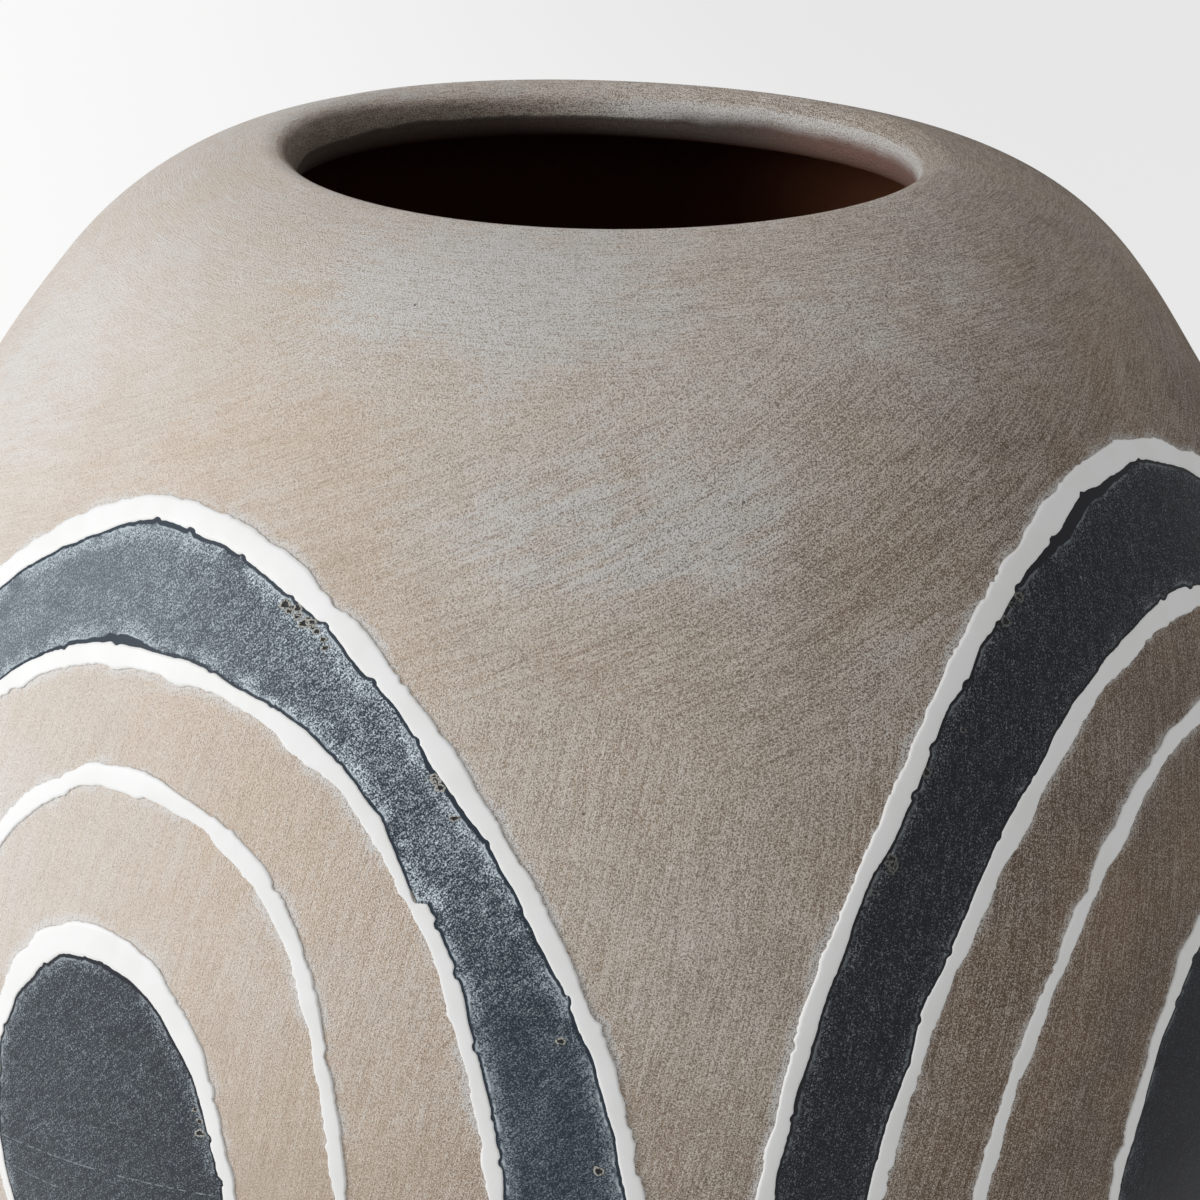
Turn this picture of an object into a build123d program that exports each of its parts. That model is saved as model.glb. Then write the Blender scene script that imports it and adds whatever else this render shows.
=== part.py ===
from build123d import *
from math import acos, asin, atan, atan2, cos, pi, radians, sin, sqrt, tan
import os

# Clay body, in millimetres and degrees, with the floor at height 0 and the jar's axis along Z
BELLY_RADIUS = 179.5       # widest ring
BELLY_HEIGHT = 176.0       # floor to the widest ring
UPPER_HEIGHT = 172.0       # widest ring to the crest of the lip
FOOT_RADIUS = 98.0         # edge of the base
FOOT_ROUNDING = 3.0        # softened edge of the base
SHOULDER_SHARE = 0.3       # how much of the upper curve the tight shoulder takes, against the flank
COLLAR_SLOPE = 14.0        # fall of the collar just outside the lip
COLLAR_LENGTH = 6.0        # straight collar outside the lip
CREST_RADIUS = 80.0        # ring along the crest of the lip
LIP_RADIUS = 7.0           # rounding of the lip
THROAT_DEPTH = 2.0         # straight inner face below the rounding
LIP_HEEL_RADIUS = 5.0      # rounding under the throat
RIM_WIDTH = 20.0           # crest to the seam of the rim
WALL = 10.0                # thickness of the thrown walls
FLOOR = 12.0               # thickness of the base slab
TONGUE = 3.0               # height of the ridge that keys each luted seam

# Fired decoration lying on the clay
LINE_WIDTH = 4.4           # raised white lines
LINE_HEIGHT = 1.4          # how far the white lines stand proud
PAINT_THICKNESS = 0.4      # black paint between the lines
GLAZE_SEAT = 0.2           # clearance between the clay and the decoration on it
LEG_END = 16.0             # height at which the legs of every arch stop
SPRINGING_DROP = 28.0      # widest ring down to where the curves pass into the legs
CROWN_POINTS = 7           # outline points from the crown to the springing
LEG_POINTS = 3             # outline points down each leg

# Each line of an arch, from the outside in: its drop at the crown below the line before it, its step
# inwards at the legs from the line before it, and the roundness of its curve left and right of the
# crown. The outer line drops from the crest of the lip and steps in from halfway to the next arch.
BROAD_BAND_ARCH = {
    "outer_line": (50.6, 18.1, 1.75, 2.0),
    "second_line": (27.8, 29.3, 1.85, 2.55),
    "third_line": (23.2, 32.8, 1.7, 2.85),
    "inner_line": (34.4, 25.3, 1.95, 2.4),
}
NARROW_BAND_ARCH = {
    "outer_line": (48.0, 13.2, 2.0, 1.75),
    "second_line": (29.4, 23.4, 1.95, 1.8),
    "third_line": (21.6, 24.9, 1.85, 1.85),
    "inner_line": (36.9, 39.7, 1.8, 1.9),
}
# Arches in order round the jar, anticlockwise from above, in pairs that lean towards each other
ARCHES = {
    "front_left": BROAD_BAND_ARCH,
    "front_right": NARROW_BAND_ARCH,
    "back_right": BROAD_BAND_ARCH,
    "back_left": NARROW_BAND_ARCH,
}
FIRST_ARCH = 225.0         # direction that the first arch faces
ARCH_TURN = 360.0 / len(ARCHES)
PAIR_TURN = 1.35           # how far the two arches of a pair are turned towards each other


def on_circle(centre, radius, angle):
    """Point of a circle where its outward normal leans by the angle from straight up."""
    return (centre[0] + radius * sin(angle), centre[1] + radius * cos(angle))


def arc(centre, radius, start, end):
    """Arc of a circle between two leans of its normal."""
    points = [on_circle(centre, radius, angle) for angle in (start, (start + end) / 2, end)]
    return ThreePointArc(*points)


# Collar, which leaves the rounding of the lip in a straight line
crest_height = BELLY_HEIGHT + UPPER_HEIGHT
lip_centre = (CREST_RADIUS, crest_height - LIP_RADIUS)
collar_angle = radians(COLLAR_SLOPE)
collar_start = on_circle(lip_centre, LIP_RADIUS, collar_angle)
collar_end = on_circle(collar_start, COLLAR_LENGTH, collar_angle + pi / 2)

# Shoulder and flank, two arcs that run smoothly from the collar to the upright belly
belly_angle = pi / 2
reach = BELLY_RADIUS - collar_end[0]
fall = collar_end[1] - BELLY_HEIGHT
turn_term = 2 * SHOULDER_SHARE * (1 - sin(collar_angle))
chord_term = fall + SHOULDER_SHARE * (reach * cos(collar_angle) + fall * sin(collar_angle))
flank_tangent = (sqrt(chord_term**2 + turn_term * (reach**2 + fall**2)) - chord_term) / turn_term
shoulder_tangent = SHOULDER_SHARE * flank_tangent
shoulder_angle = atan2(
    fall - flank_tangent - shoulder_tangent * sin(collar_angle),
    reach - shoulder_tangent * cos(collar_angle),
)
shoulder_radius = shoulder_tangent / tan((shoulder_angle - collar_angle) / 2)
shoulder_centre = on_circle(collar_end, -shoulder_radius, collar_angle)
flank_radius = flank_tangent / tan((belly_angle - shoulder_angle) / 2)
flank_centre = (BELLY_RADIUS - flank_radius, BELLY_HEIGHT)
rim_angle = asin((CREST_RADIUS + RIM_WIDTH - shoulder_centre[0]) / shoulder_radius)

# Lower wall, which leaves the belly upright and meets the edge of the base
undercut = 2 * atan((BELLY_RADIUS - FOOT_RADIUS) / BELLY_HEIGHT)
lower_radius = BELLY_HEIGHT / sin(undercut)
lower_centre = (BELLY_RADIUS - lower_radius, BELLY_HEIGHT)
foot_angle = belly_angle + undercut


def lower_skin(offset, start, end):
    """Outline of the lower wall, moved out by the offset."""
    return arc(lower_centre, lower_radius + offset, start, end)


def upper_skin(offset):
    """Outline from the belly up to the rim's seam, moved out by the offset."""
    return [
        arc(flank_centre, flank_radius + offset, belly_angle, shoulder_angle),
        arc(shoulder_centre, shoulder_radius + offset, shoulder_angle, rim_angle),
    ]


def outer_radius(height):
    """Radius of the clay at a height between the base and the shoulder."""
    centre, radius = (flank_centre, flank_radius)
    if height < BELLY_HEIGHT:
        centre, radius = (lower_centre, lower_radius)
    return centre[0] + sqrt(radius**2 - (height - BELLY_HEIGHT) ** 2)


def ring(edges, turn=360.0):
    """Solid of revolution from a closed outline in the plane of radius and height."""
    return revolve(Plane.XZ * make_face(edges), Axis.Z, turn)


def keyed_seam(outer, inner, angle):
    """Face of a luted seam, with a ridge along its middle that points at the angle from straight up."""
    middle = ((outer[0] + inner[0]) / 2, (outer[1] + inner[1]) / 2)
    return Polyline(outer, on_circle(middle, TONGUE, angle), inner)


# Luted seams, each shared by the two pieces that meet there
floor_outer_angle = acos((FLOOR - BELLY_HEIGHT) / lower_radius)
floor_inner_angle = acos((FLOOR - BELLY_HEIGHT) / (lower_radius - WALL))
floor_outer = on_circle(lower_centre, lower_radius, floor_outer_angle)
floor_inner = on_circle(lower_centre, lower_radius - WALL, floor_inner_angle)
base_seam = keyed_seam(floor_outer, floor_inner, 0)
belly_seam = keyed_seam((BELLY_RADIUS, BELLY_HEIGHT), (BELLY_RADIUS - WALL, BELLY_HEIGHT), 0)
rim_outer = on_circle(shoulder_centre, shoulder_radius, rim_angle)
rim_inner = on_circle(shoulder_centre, shoulder_radius - WALL, rim_angle)
rim_seam = keyed_seam(rim_outer, rim_inner, rim_angle - pi / 2)


def base_slab():
    """Flat disc that the jar stands on."""
    slab = ring([
        Polyline((0, FLOOR), (0, 0), (FOOT_RADIUS, 0)),
        lower_skin(0, foot_angle, floor_outer_angle),
        base_seam,
        Line(floor_inner, (0, FLOOR)),
    ])
    foot_edge = slab.edges().filter_by(GeomType.CIRCLE).sort_by(Axis.Z)[0]
    return fillet(foot_edge, FOOT_ROUNDING)


def lower_wall():
    """Thrown lower half, from the slab to the belly."""
    return ring([
        base_seam,
        lower_skin(0, floor_outer_angle, belly_angle),
        belly_seam,
        lower_skin(-WALL, belly_angle, floor_inner_angle),
    ])


def shoulder_wall():
    """Thrown upper half, from the belly to the rim."""
    return ring([belly_seam, *upper_skin(0), rim_seam, *upper_skin(-WALL)])


def rim_coil():
    """Thick ring of the mouth, rounded over its lip and flat underneath."""
    throat_radius = CREST_RADIUS - LIP_RADIUS
    throat_bottom = lip_centre[1] - THROAT_DEPTH
    heel_centre = (throat_radius + LIP_HEEL_RADIUS, throat_bottom)
    return ring([
        rim_seam,
        arc(shoulder_centre, shoulder_radius, rim_angle, collar_angle),
        Line(collar_end, collar_start),
        arc(lip_centre, LIP_RADIUS, collar_angle, -pi / 2),
        Line((throat_radius, lip_centre[1]), (throat_radius, throat_bottom)),
        arc(heel_centre, LIP_HEEL_RADIUS, -pi / 2, -pi),
        Line(on_circle(heel_centre, LIP_HEEL_RADIUS, -pi), rim_inner),
    ])


def arch_side(crown, half_width, roundness):
    """One side of an arch on a flat stencil in front of the jar, from the crown to the end of the leg."""
    springing = BELLY_HEIGHT - SPRINGING_DROP
    half_turn = half_width / BELLY_RADIUS
    side = []
    for step in range(CROWN_POINTS + 1):
        sweep = step / CROWN_POINTS
        height = springing + (crown - springing) * sin((1 - sweep) * pi / 2) ** (2 / roundness)
        turn = half_turn * sin(sweep * pi / 2) ** (2 / roundness)
        side.append((outer_radius(height) * sin(turn), height))
    for step in range(1, LEG_POINTS + 1):
        height = springing + (LEG_END - springing) * step / LEG_POINTS
        side.append((outer_radius(height) * sin(half_turn), height))
    return side


def arch_edge(crown, half_width, left, right):
    """Arch on the stencil, from the end of its left leg over the crown to the end of its right leg."""
    left_side = [(-across, height) for across, height in arch_side(crown, half_width, left)]
    return Spline(*left_side[:0:-1], *arch_side(crown, half_width, right))


def line_edges(lines):
    """Outer and inner edge of each line of an arch."""
    crown = crest_height
    half_width = BELLY_RADIUS * radians(ARCH_TURN) / 2
    edge = LINE_WIDTH / 2
    edges = {}
    for name, (drop, step_in, left, right) in lines.items():
        crown -= drop
        half_width -= step_in
        edges[name] = [
            arch_edge(crown + edge, half_width + edge, left, right),
            arch_edge(crown - edge, half_width - edge, left, right),
        ]
    return edges


def layer(thickness):
    """Layer over the clay on one arch's share of the jar, facing +X."""
    top = GLAZE_SEAT + thickness
    foot = (FOOT_RADIUS, 0)
    sector = ring([
        lower_skin(GLAZE_SEAT, foot_angle, belly_angle),
        *upper_skin(GLAZE_SEAT),
        Line(on_circle(rim_outer, GLAZE_SEAT, rim_angle), on_circle(rim_outer, top, rim_angle)),
        *upper_skin(top),
        lower_skin(top, belly_angle, foot_angle),
        Line(on_circle(foot, GLAZE_SEAT, foot_angle), on_circle(foot, top, foot_angle)),
    ], ARCH_TURN)
    return Rot(0, 0, -ARCH_TURN / 2) * sector


def stencilled(sector, outer, inner=None):
    """Part of a layer under a stencil, inside the outer edge and outside any inner edge."""
    if inner:
        outline = [outer, inner, Line(outer @ 0, inner @ 0), Line(outer @ 1, inner @ 1)]
    else:
        outline = [outer, Line(outer @ 0, outer @ 1)]
    return sector & extrude(Plane.YZ * make_face(outline), BELLY_RADIUS + WALL)


def arch_pieces(lines):
    """Six pieces of one arch, facing +X."""
    raised = layer(LINE_HEIGHT)
    paint = layer(PAINT_THICKNESS)
    edges = line_edges(lines)
    pieces = {name: stencilled(raised, *pair) for name, pair in edges.items()}
    pieces["black_band"] = stencilled(paint, edges["outer_line"][1], edges["second_line"][0])
    pieces["black_field"] = stencilled(paint, edges["inner_line"][1])
    return pieces


os.makedirs("parts", exist_ok=True)
for piece in (base_slab, lower_wall, shoulder_wall, rim_coil):
    export_step(piece(), f"parts/{piece.__name__}.step")
for place, (arch, lines) in enumerate(ARCHES.items()):
    pair_turn = -PAIR_TURN if place % 2 else PAIR_TURN
    facing = Rot(0, 0, FIRST_ARCH + place * ARCH_TURN + pair_turn)
    for name, piece in arch_pieces(lines).items():
        export_step(facing * piece, f"parts/{arch}_{name}.step")
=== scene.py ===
"""Looks of a large round clay jar: thrown clay, trailed white lines and rubbed black paint."""

import logging
import math
from dataclasses import dataclass, field
from enum import Enum
from functools import cached_property, reduce
from typing import Any, Callable, ClassVar, Iterable, Mapping, Optional, Sequence, Union

import bpy
import numpy as np
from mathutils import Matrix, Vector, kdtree


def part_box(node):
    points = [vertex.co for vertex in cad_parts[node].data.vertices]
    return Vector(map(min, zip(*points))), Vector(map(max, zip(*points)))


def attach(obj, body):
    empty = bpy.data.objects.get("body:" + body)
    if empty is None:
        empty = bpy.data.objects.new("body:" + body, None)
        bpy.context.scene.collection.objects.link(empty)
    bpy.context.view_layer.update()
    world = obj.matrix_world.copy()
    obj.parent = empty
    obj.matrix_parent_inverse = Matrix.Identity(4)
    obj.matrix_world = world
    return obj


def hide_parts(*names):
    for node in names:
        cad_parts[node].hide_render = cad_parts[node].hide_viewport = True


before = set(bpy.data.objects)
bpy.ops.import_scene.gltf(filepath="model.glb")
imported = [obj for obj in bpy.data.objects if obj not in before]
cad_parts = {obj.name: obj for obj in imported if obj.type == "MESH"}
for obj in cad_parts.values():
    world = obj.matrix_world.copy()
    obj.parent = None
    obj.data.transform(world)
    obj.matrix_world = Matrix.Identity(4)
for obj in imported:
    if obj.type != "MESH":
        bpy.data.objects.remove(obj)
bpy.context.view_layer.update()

LOG = logging.getLogger("clay_jar")
MM = 0.001
BODY = "root"
RIGHT = (1.0, 0.0, 0.0)
BACK = (0.0, 1.0, 0.0)
UP = (0.0, 0.0, 1.0)
MERGE_DISTANCE = 0.002 * MM

# Brush strokes: the radius that their slopes hold at, the slopes, the heights that part level,
# slanted and steep strokes, and how softly and unevenly they change there
STROKE_RADIUS = 165.0 * MM
SLANTED_STROKE = math.radians(19.0)
DIAGONAL_STROKE = math.radians(45.0)
STEEP_STROKE = math.radians(76.0)
STEEP_BELOW = 266.0 * MM
LEVEL_ABOVE = 322.0 * MM
STROKE_BLEND = 8.0 * MM
STROKE_DRIFT = 70.0 * MM
STROKE_DRIFT_SIZE = 55.0 * MM

Colour = tuple[float, float, float]
Spot = tuple[float, float]
Settings = Optional[Mapping[str, Any]]
Sockets = Optional[Mapping[Union[str, int], Any]]


# Node sheets: shader and geometry node trees written as expressions


def arithmetic(operation: str, swapped: bool = False) -> Callable[["Signal", Any], "Signal"]:
    """Makes one of a signal's arithmetic methods.

    Args:
        operation: operation of the Math node that the method adds.
        swapped: whether the other value comes first.

    Returns:
        The method.
    """

    def method(signal: "Signal", other: Any) -> "Signal":
        """Adds the Math node."""
        return signal.maths(operation, *((other, signal) if swapped else (signal, other)))

    return method


class Signal:
    """One output socket of a node tree; sums and products of signals add Math nodes."""

    __add__ = arithmetic("ADD")
    __radd__ = arithmetic("ADD", swapped=True)
    __sub__ = arithmetic("SUBTRACT")
    __rsub__ = arithmetic("SUBTRACT", swapped=True)
    __mul__ = arithmetic("MULTIPLY")
    __rmul__ = arithmetic("MULTIPLY", swapped=True)
    __truediv__ = arithmetic("DIVIDE")
    __rtruediv__ = arithmetic("DIVIDE", swapped=True)
    __pow__ = arithmetic("POWER")
    at_least = arithmetic("MAXIMUM")
    at_most = arithmetic("MINIMUM")

    def __init__(self, sheet: "NodeSheet", socket: bpy.types.NodeSocket) -> None:
        """Keeps the socket and the sheet that it belongs to."""
        self.sheet = sheet
        self.socket = socket

    def maths(self, operation: str, *terms: Any) -> "Signal":
        """Adds one Math node.

        Args:
            operation: the node's operation.
            terms: its inputs in order, signals or numbers.

        Returns:
            The node's output.
        """
        return self.sheet.signal("ShaderNodeMath", {"operation": operation}, dict(enumerate(terms)))

    def rise(self, low: float, high: float) -> "Signal":
        """Smooth rise from 0 below the low value to 1 above the high one.

        Args:
            low: where the rise starts.
            high: where the rise ends; below the low value the rise becomes a fall.

        Returns:
            The signal between 0 and 1.
        """
        if high < low:
            return 1.0 - self.rise(high, low)
        sockets = {"Value": self, "From Min": low, "From Max": high, "To Min": 0.0, "To Max": 1.0}
        settings = {"interpolation_type": "SMOOTHSTEP"}
        return self.sheet.signal("ShaderNodeMapRange", settings, sockets)


class NodeSheet:
    """A node tree while it is being written."""

    def __init__(self, tree: bpy.types.NodeTree) -> None:
        """Keeps the tree."""
        self.tree = tree

    def node(self, kind: str, settings: Settings = None, sockets: Sockets = None) -> bpy.types.Node:
        """Adds one node.

        Args:
            kind: the node's type.
            settings: its properties, which are set first.
            sockets: values or signals for its inputs, by name or number.

        Returns:
            The new node.
        """
        node = self.tree.nodes.new(kind)
        for name, value in (settings or {}).items():
            setattr(node, name, value)
        for key, value in (sockets or {}).items():
            if isinstance(value, Signal):
                self.tree.links.new(value.socket, node.inputs[key])
            else:
                node.inputs[key].default_value = value
        return node

    def signal(
        self,
        kind: str,
        settings: Settings = None,
        sockets: Sockets = None,
        output: Union[str, int] = 0,
    ) -> Signal:
        """Adds one node and hands on one of its outputs.

        Args:
            kind: the node's type.
            settings: its properties.
            sockets: values or signals for its inputs.
            output: name or number of the output.

        Returns:
            The output as a signal.
        """
        return Signal(self, self.node(kind, settings, sockets).outputs[output])

    def vector(self, operation: str, *terms: Any, output: str = "Vector") -> Signal:
        """Adds one Vector Math node with up to two vectors.

        Args:
            operation: the node's operation.
            terms: its vectors in order.
            output: which of its outputs counts.

        Returns:
            What it gives.
        """
        sockets = dict(enumerate(terms))
        return self.signal("ShaderNodeVectorMath", {"operation": operation}, sockets, output)

    def scaled(self, vector: Any, factor: Any) -> Signal:
        """A vector times a number."""
        sockets = {0: vector, "Scale": factor}
        return self.signal("ShaderNodeVectorMath", {"operation": "SCALE"}, sockets)

    def dot(self, first: Any, second: Any) -> Signal:
        """Dot product of two vectors."""
        return self.vector("DOT_PRODUCT", first, second, output="Value")

    def length(self, vector: Any) -> Signal:
        """Length of a vector."""
        return self.vector("LENGTH", vector, output="Value")


class FinishSheet(NodeSheet):
    """A material while it is being written."""

    def __init__(self, name: str) -> None:
        """Starts an empty material.

        Args:
            name: its name.
        """
        self.material = bpy.data.materials.new(name)
        self.material.use_nodes = True
        self.material.node_tree.nodes.clear()
        super().__init__(self.material.node_tree)

    def place(self) -> Signal:
        """Object coordinates, in metres."""
        return self.signal("ShaderNodeTexCoord", output="Object")

    def attribute(self, name: str) -> Signal:
        """A number that the mesh carries at its points."""
        return self.signal("ShaderNodeAttribute", {"attribute_name": name}, output="Fac")

    def noise(
        self, place: Signal, size: float, detail: float, rough: float, seed: float = 0.0
    ) -> Signal:
        """Cloudy noise around 0.5.

        Args:
            place: coordinates in metres.
            size: size of its clouds in metres.
            detail: number of finer layers.
            rough: strength of the finer layers.
            seed: moves the pattern elsewhere.

        Returns:
            The noise.
        """
        moved = self.vector("ADD", place, (seed, 1.7 * seed, 0.6 * seed)) if seed else place
        sockets = {"Vector": moved, "Scale": 1.0 / size, "Detail": detail, "Roughness": rough}
        return self.signal("ShaderNodeTexNoise", {"noise_dimensions": "3D"}, sockets)

    def strokes(
        self, place: Signal, size: float, length: float, slope: float, seed: float
    ) -> Signal:
        """Noise drawn out into brush strokes that climb round the jar's axis.

        Args:
            place: coordinates in metres.
            size: width of the strokes.
            length: how many times longer than wide they are.
            slope: how steeply they climb to the right, as an angle; 0 leaves level rings.
            seed: moves the pattern elsewhere.

        Returns:
            The noise.
        """
        flat = self.vector("MULTIPLY", place, (1.0, 1.0, 0.0))
        radius = self.length(flat)
        facing = self.vector("NORMALIZE", flat)
        height = self.dot(place, UP)
        if slope:
            turn = {"Vector": facing, "Angle": height * (-1.0 / (STROKE_RADIUS * math.tan(slope)))}
            facing = self.signal("ShaderNodeVectorRotate", {"rotation_type": "Z_AXIS"}, turn)
            across, along = STROKE_RADIUS * math.sin(slope), 1.0 / (length * math.sin(slope))
            depth = 1.0 / length
        else:
            across, along, depth = STROKE_RADIUS / length, 1.0, 1.0
        level = self.scaled(UP, height * (along / size) + seed)
        sockets = {
            "Vector": self.vector("ADD", self.scaled(facing, across / size), level),
            "W": radius * (depth / size),
            "Scale": 1.0,
            "Detail": 1.0,
            "Roughness": 0.5,
        }
        return self.signal("ShaderNodeTexNoise", {"noise_dimensions": "4D"}, sockets)

    def brushed(self, place: Signal, size: float, length: float, seed: float = 0.0) -> Signal:
        """Strokes as the hand left them: level at the rim, slanted below it and steep further down.

        Args:
            place: coordinates in metres.
            size: width of the strokes.
            length: how many times longer than wide they are.
            seed: moves the pattern elsewhere.

        Returns:
            The noise.
        """
        drift = self.noise(place, STROKE_DRIFT_SIZE, 1.0, 0.5, 11.0 + seed)
        reach = self.dot(place, UP) + (drift - 0.5) * STROKE_DRIFT
        level, slanted, steep = (
            self.strokes(place, size, length, slope, seed)
            for slope in (0.0, SLANTED_STROKE, STEEP_STROKE)
        )
        low = reach.rise(STEEP_BELOW + STROKE_BLEND, STEEP_BELOW - STROKE_BLEND)
        high = reach.rise(LEVEL_ABOVE - STROKE_BLEND, LEVEL_ABOVE + STROKE_BLEND)
        return level * high + (steep * low + slanted * (1.0 - low)) * (1.0 - high)

    def blend(self, factor: Any, first: Any, second: Any) -> Signal:
        """Mixes two colours.

        Args:
            factor: 0 for the first colour, 1 for the second.
            first: a colour or a signal.
            second: a colour or a signal.

        Returns:
            The mixed colour.
        """
        ends = [end if isinstance(end, Signal) else (*end, 1.0) for end in (first, second)]
        sockets = {0: factor, 6: ends[0], 7: ends[1]}
        return self.signal("ShaderNodeMix", {"data_type": "RGBA", "clamp_factor": True}, sockets, 2)

    def close(
        self, colour: Signal, roughness: Any, height: Signal, depth: float, **constants: float
    ) -> None:
        """Ends the material in its shader.

        Args:
            colour: base colour.
            roughness: roughness, a signal or a number.
            height: relief, from 0 to 1.
            depth: height in metres that a relief of 1 stands for.
            constants: sockets of the shader that are the same all over.
        """
        bump = {"Strength": 1.0, "Distance": depth, "Height": height}
        normal = self.signal("ShaderNodeBump", sockets=bump)
        sockets = {"Base Color": colour, "Roughness": roughness, "Normal": normal}
        sockets.update({name.replace("_", " "): value for name, value in constants.items()})
        shader = self.signal("ShaderNodeBsdfPrincipled", sockets=sockets)
        self.node("ShaderNodeOutputMaterial", sockets={"Surface": shader})


class ShapeSheet(NodeSheet):
    """A geometry node tree while it is being written."""

    def __init__(self, name: str, inputs: Mapping[str, str]) -> None:
        """Starts a tree that takes a mesh, the named inputs and a finish.

        Args:
            name: the tree's name.
            inputs: the socket type of each named input.
        """
        super().__init__(bpy.data.node_groups.new(name, "GeometryNodeTree"))
        named = {"Geometry": "NodeSocketGeometry", **inputs, "Finish": "NodeSocketMaterial"}
        for title, kind in named.items():
            self.tree.interface.new_socket(title, in_out="INPUT", socket_type=kind)
        kind = named["Geometry"]
        self.tree.interface.new_socket("Geometry", in_out="OUTPUT", socket_type=kind)
        self.entry = self.node("NodeGroupInput")

    def given(self, title: str) -> Signal:
        """One of the tree's named inputs."""
        return Signal(self, self.entry.outputs[title])

    def carried(self, name: str, kind: str = "FLOAT") -> Signal:
        """A value that the geometry carries under a name."""
        return self.signal("GeometryNodeInputNamedAttribute", {"data_type": kind}, {"Name": name})

    def keep(self, geometry: Signal, name: str, value: Signal, kind: str = "FLOAT") -> Signal:
        """Stores a value on the geometry's points under a name.

        Args:
            geometry: what carries it.
            name: the value's name.
            value: the value.
            kind: its data type.

        Returns:
            The geometry with the value.
        """
        sockets = {"Geometry": geometry, "Name": name, "Value": value}
        settings = {"data_type": kind, "domain": "POINT"}
        return self.signal("GeometryNodeStoreNamedAttribute", settings, sockets)

    def wobble(self, along: Signal, length: float, seed: Any, detail: float = 1.0) -> Signal:
        """Noise between -1 and 1 that runs along a line.

        Args:
            along: distance along the line, in metres.
            length: length of one swing.
            seed: moves the pattern along.
            detail: number of finer layers.

        Returns:
            The noise.
        """
        sockets = {"W": along / length + seed, "Scale": 1.0, "Detail": detail}
        noise = self.signal("ShaderNodeTexNoise", {"noise_dimensions": "1D"}, sockets)
        return (noise - 0.5) * 2.0

    def close(self, geometry: Signal) -> None:
        """Ends the tree in real faces with the given finish.

        Args:
            geometry: what the tree has made.
        """
        real = self.signal("GeometryNodeRealizeInstances", sockets={"Geometry": geometry})
        smooth = self.signal("GeometryNodeSetShadeSmooth", sockets={"Geometry": real})
        sockets = {"Geometry": smooth, "Material": self.given("Finish")}
        dressed = self.signal("GeometryNodeSetMaterial", sockets=sockets)
        self.node("NodeGroupOutput", sockets={"Geometry": dressed})

    def shape(self, piece: bpy.types.Object, values: Mapping[str, Any]) -> None:
        """Runs the tree on a piece and leaves the result as its plain mesh.

        Args:
            piece: the object, whose mesh is what the tree starts from.
            values: the named inputs.
        """
        modifier = piece.modifiers.new(self.tree.name, "NODES")
        modifier.node_group = self.tree
        for item in self.tree.interface.items_tree:
            if item.in_out == "INPUT" and item.name in values:
                modifier[item.identifier] = values[item.name]
        graph = bpy.context.evaluated_depsgraph_get()
        shaped = bpy.data.meshes.new_from_object(
            piece.evaluated_get(graph), preserve_all_data_layers=True, depsgraph=graph
        )
        seed_mesh = piece.data
        piece.modifiers.remove(modifier)
        piece.data = shaped
        shaped.name = piece.name
        bpy.data.meshes.remove(seed_mesh)


# Finishes


@dataclass(frozen=True)
class Finish:
    """A surface; each kind of surface paints its own material."""

    title: ClassVar[str]

    def material(self) -> bpy.types.Material:
        """Writes the material.

        Returns:
            The new material.
        """
        sheet = FinishSheet(self.title)
        self.paint(sheet, sheet.place())
        return sheet.material

    def paint(self, sheet: FinishSheet, place: Signal) -> None:
        """Writes the surface on an empty sheet.

        Args:
            sheet: the material's sheet.
            place: object coordinates in metres.
        """
        raise NotImplementedError


def on_ring(turn: float, ring: float, height: float) -> np.ndarray:
    """Place at a turn in degrees, a radius and a height."""
    angle = math.radians(turn)
    return np.array([ring * math.cos(angle), ring * math.sin(angle), height])


@dataclass(frozen=True)
class WashCloud:
    """Soft patch where more of the whitewash was left on the clay."""

    turn: float
    ring: float
    height: float
    width: float
    tall: float
    strength: float
    fade: ClassVar[float] = 1.25

    def spread(self, sheet: FinishSheet, place: Signal) -> Signal:
        """Spreads the patch over the jar, from its middle to nothing at its edge.

        Args:
            sheet: the material's sheet.
            place: object coordinates in metres.

        Returns:
            Its strength.
        """
        middle = tuple(on_ring(self.turn, self.ring, self.height))
        stretch = (1.0 / self.width, 1.0 / self.width, 1.0 / self.tall)
        offset = sheet.vector("MULTIPLY", sheet.vector("SUBTRACT", place, middle), stretch)
        return sheet.length(offset).rise(self.fade, 0.0) * self.strength


WASH_CLOUDS = (
    WashCloud(-95.0, 152 * MM, 301 * MM, 48 * MM, 17 * MM, 0.80),
    WashCloud(-112.0, 104 * MM, 338 * MM, 46 * MM, 12 * MM, 0.50),
    WashCloud(-74.0, 164 * MM, 262 * MM, 24 * MM, 40 * MM, 0.35),
    WashCloud(-60.0, 120 * MM, 330 * MM, 40 * MM, 16 * MM, 0.25),
    WashCloud(-162.0, 146 * MM, 311 * MM, 34 * MM, 26 * MM, 0.60),
)


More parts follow.
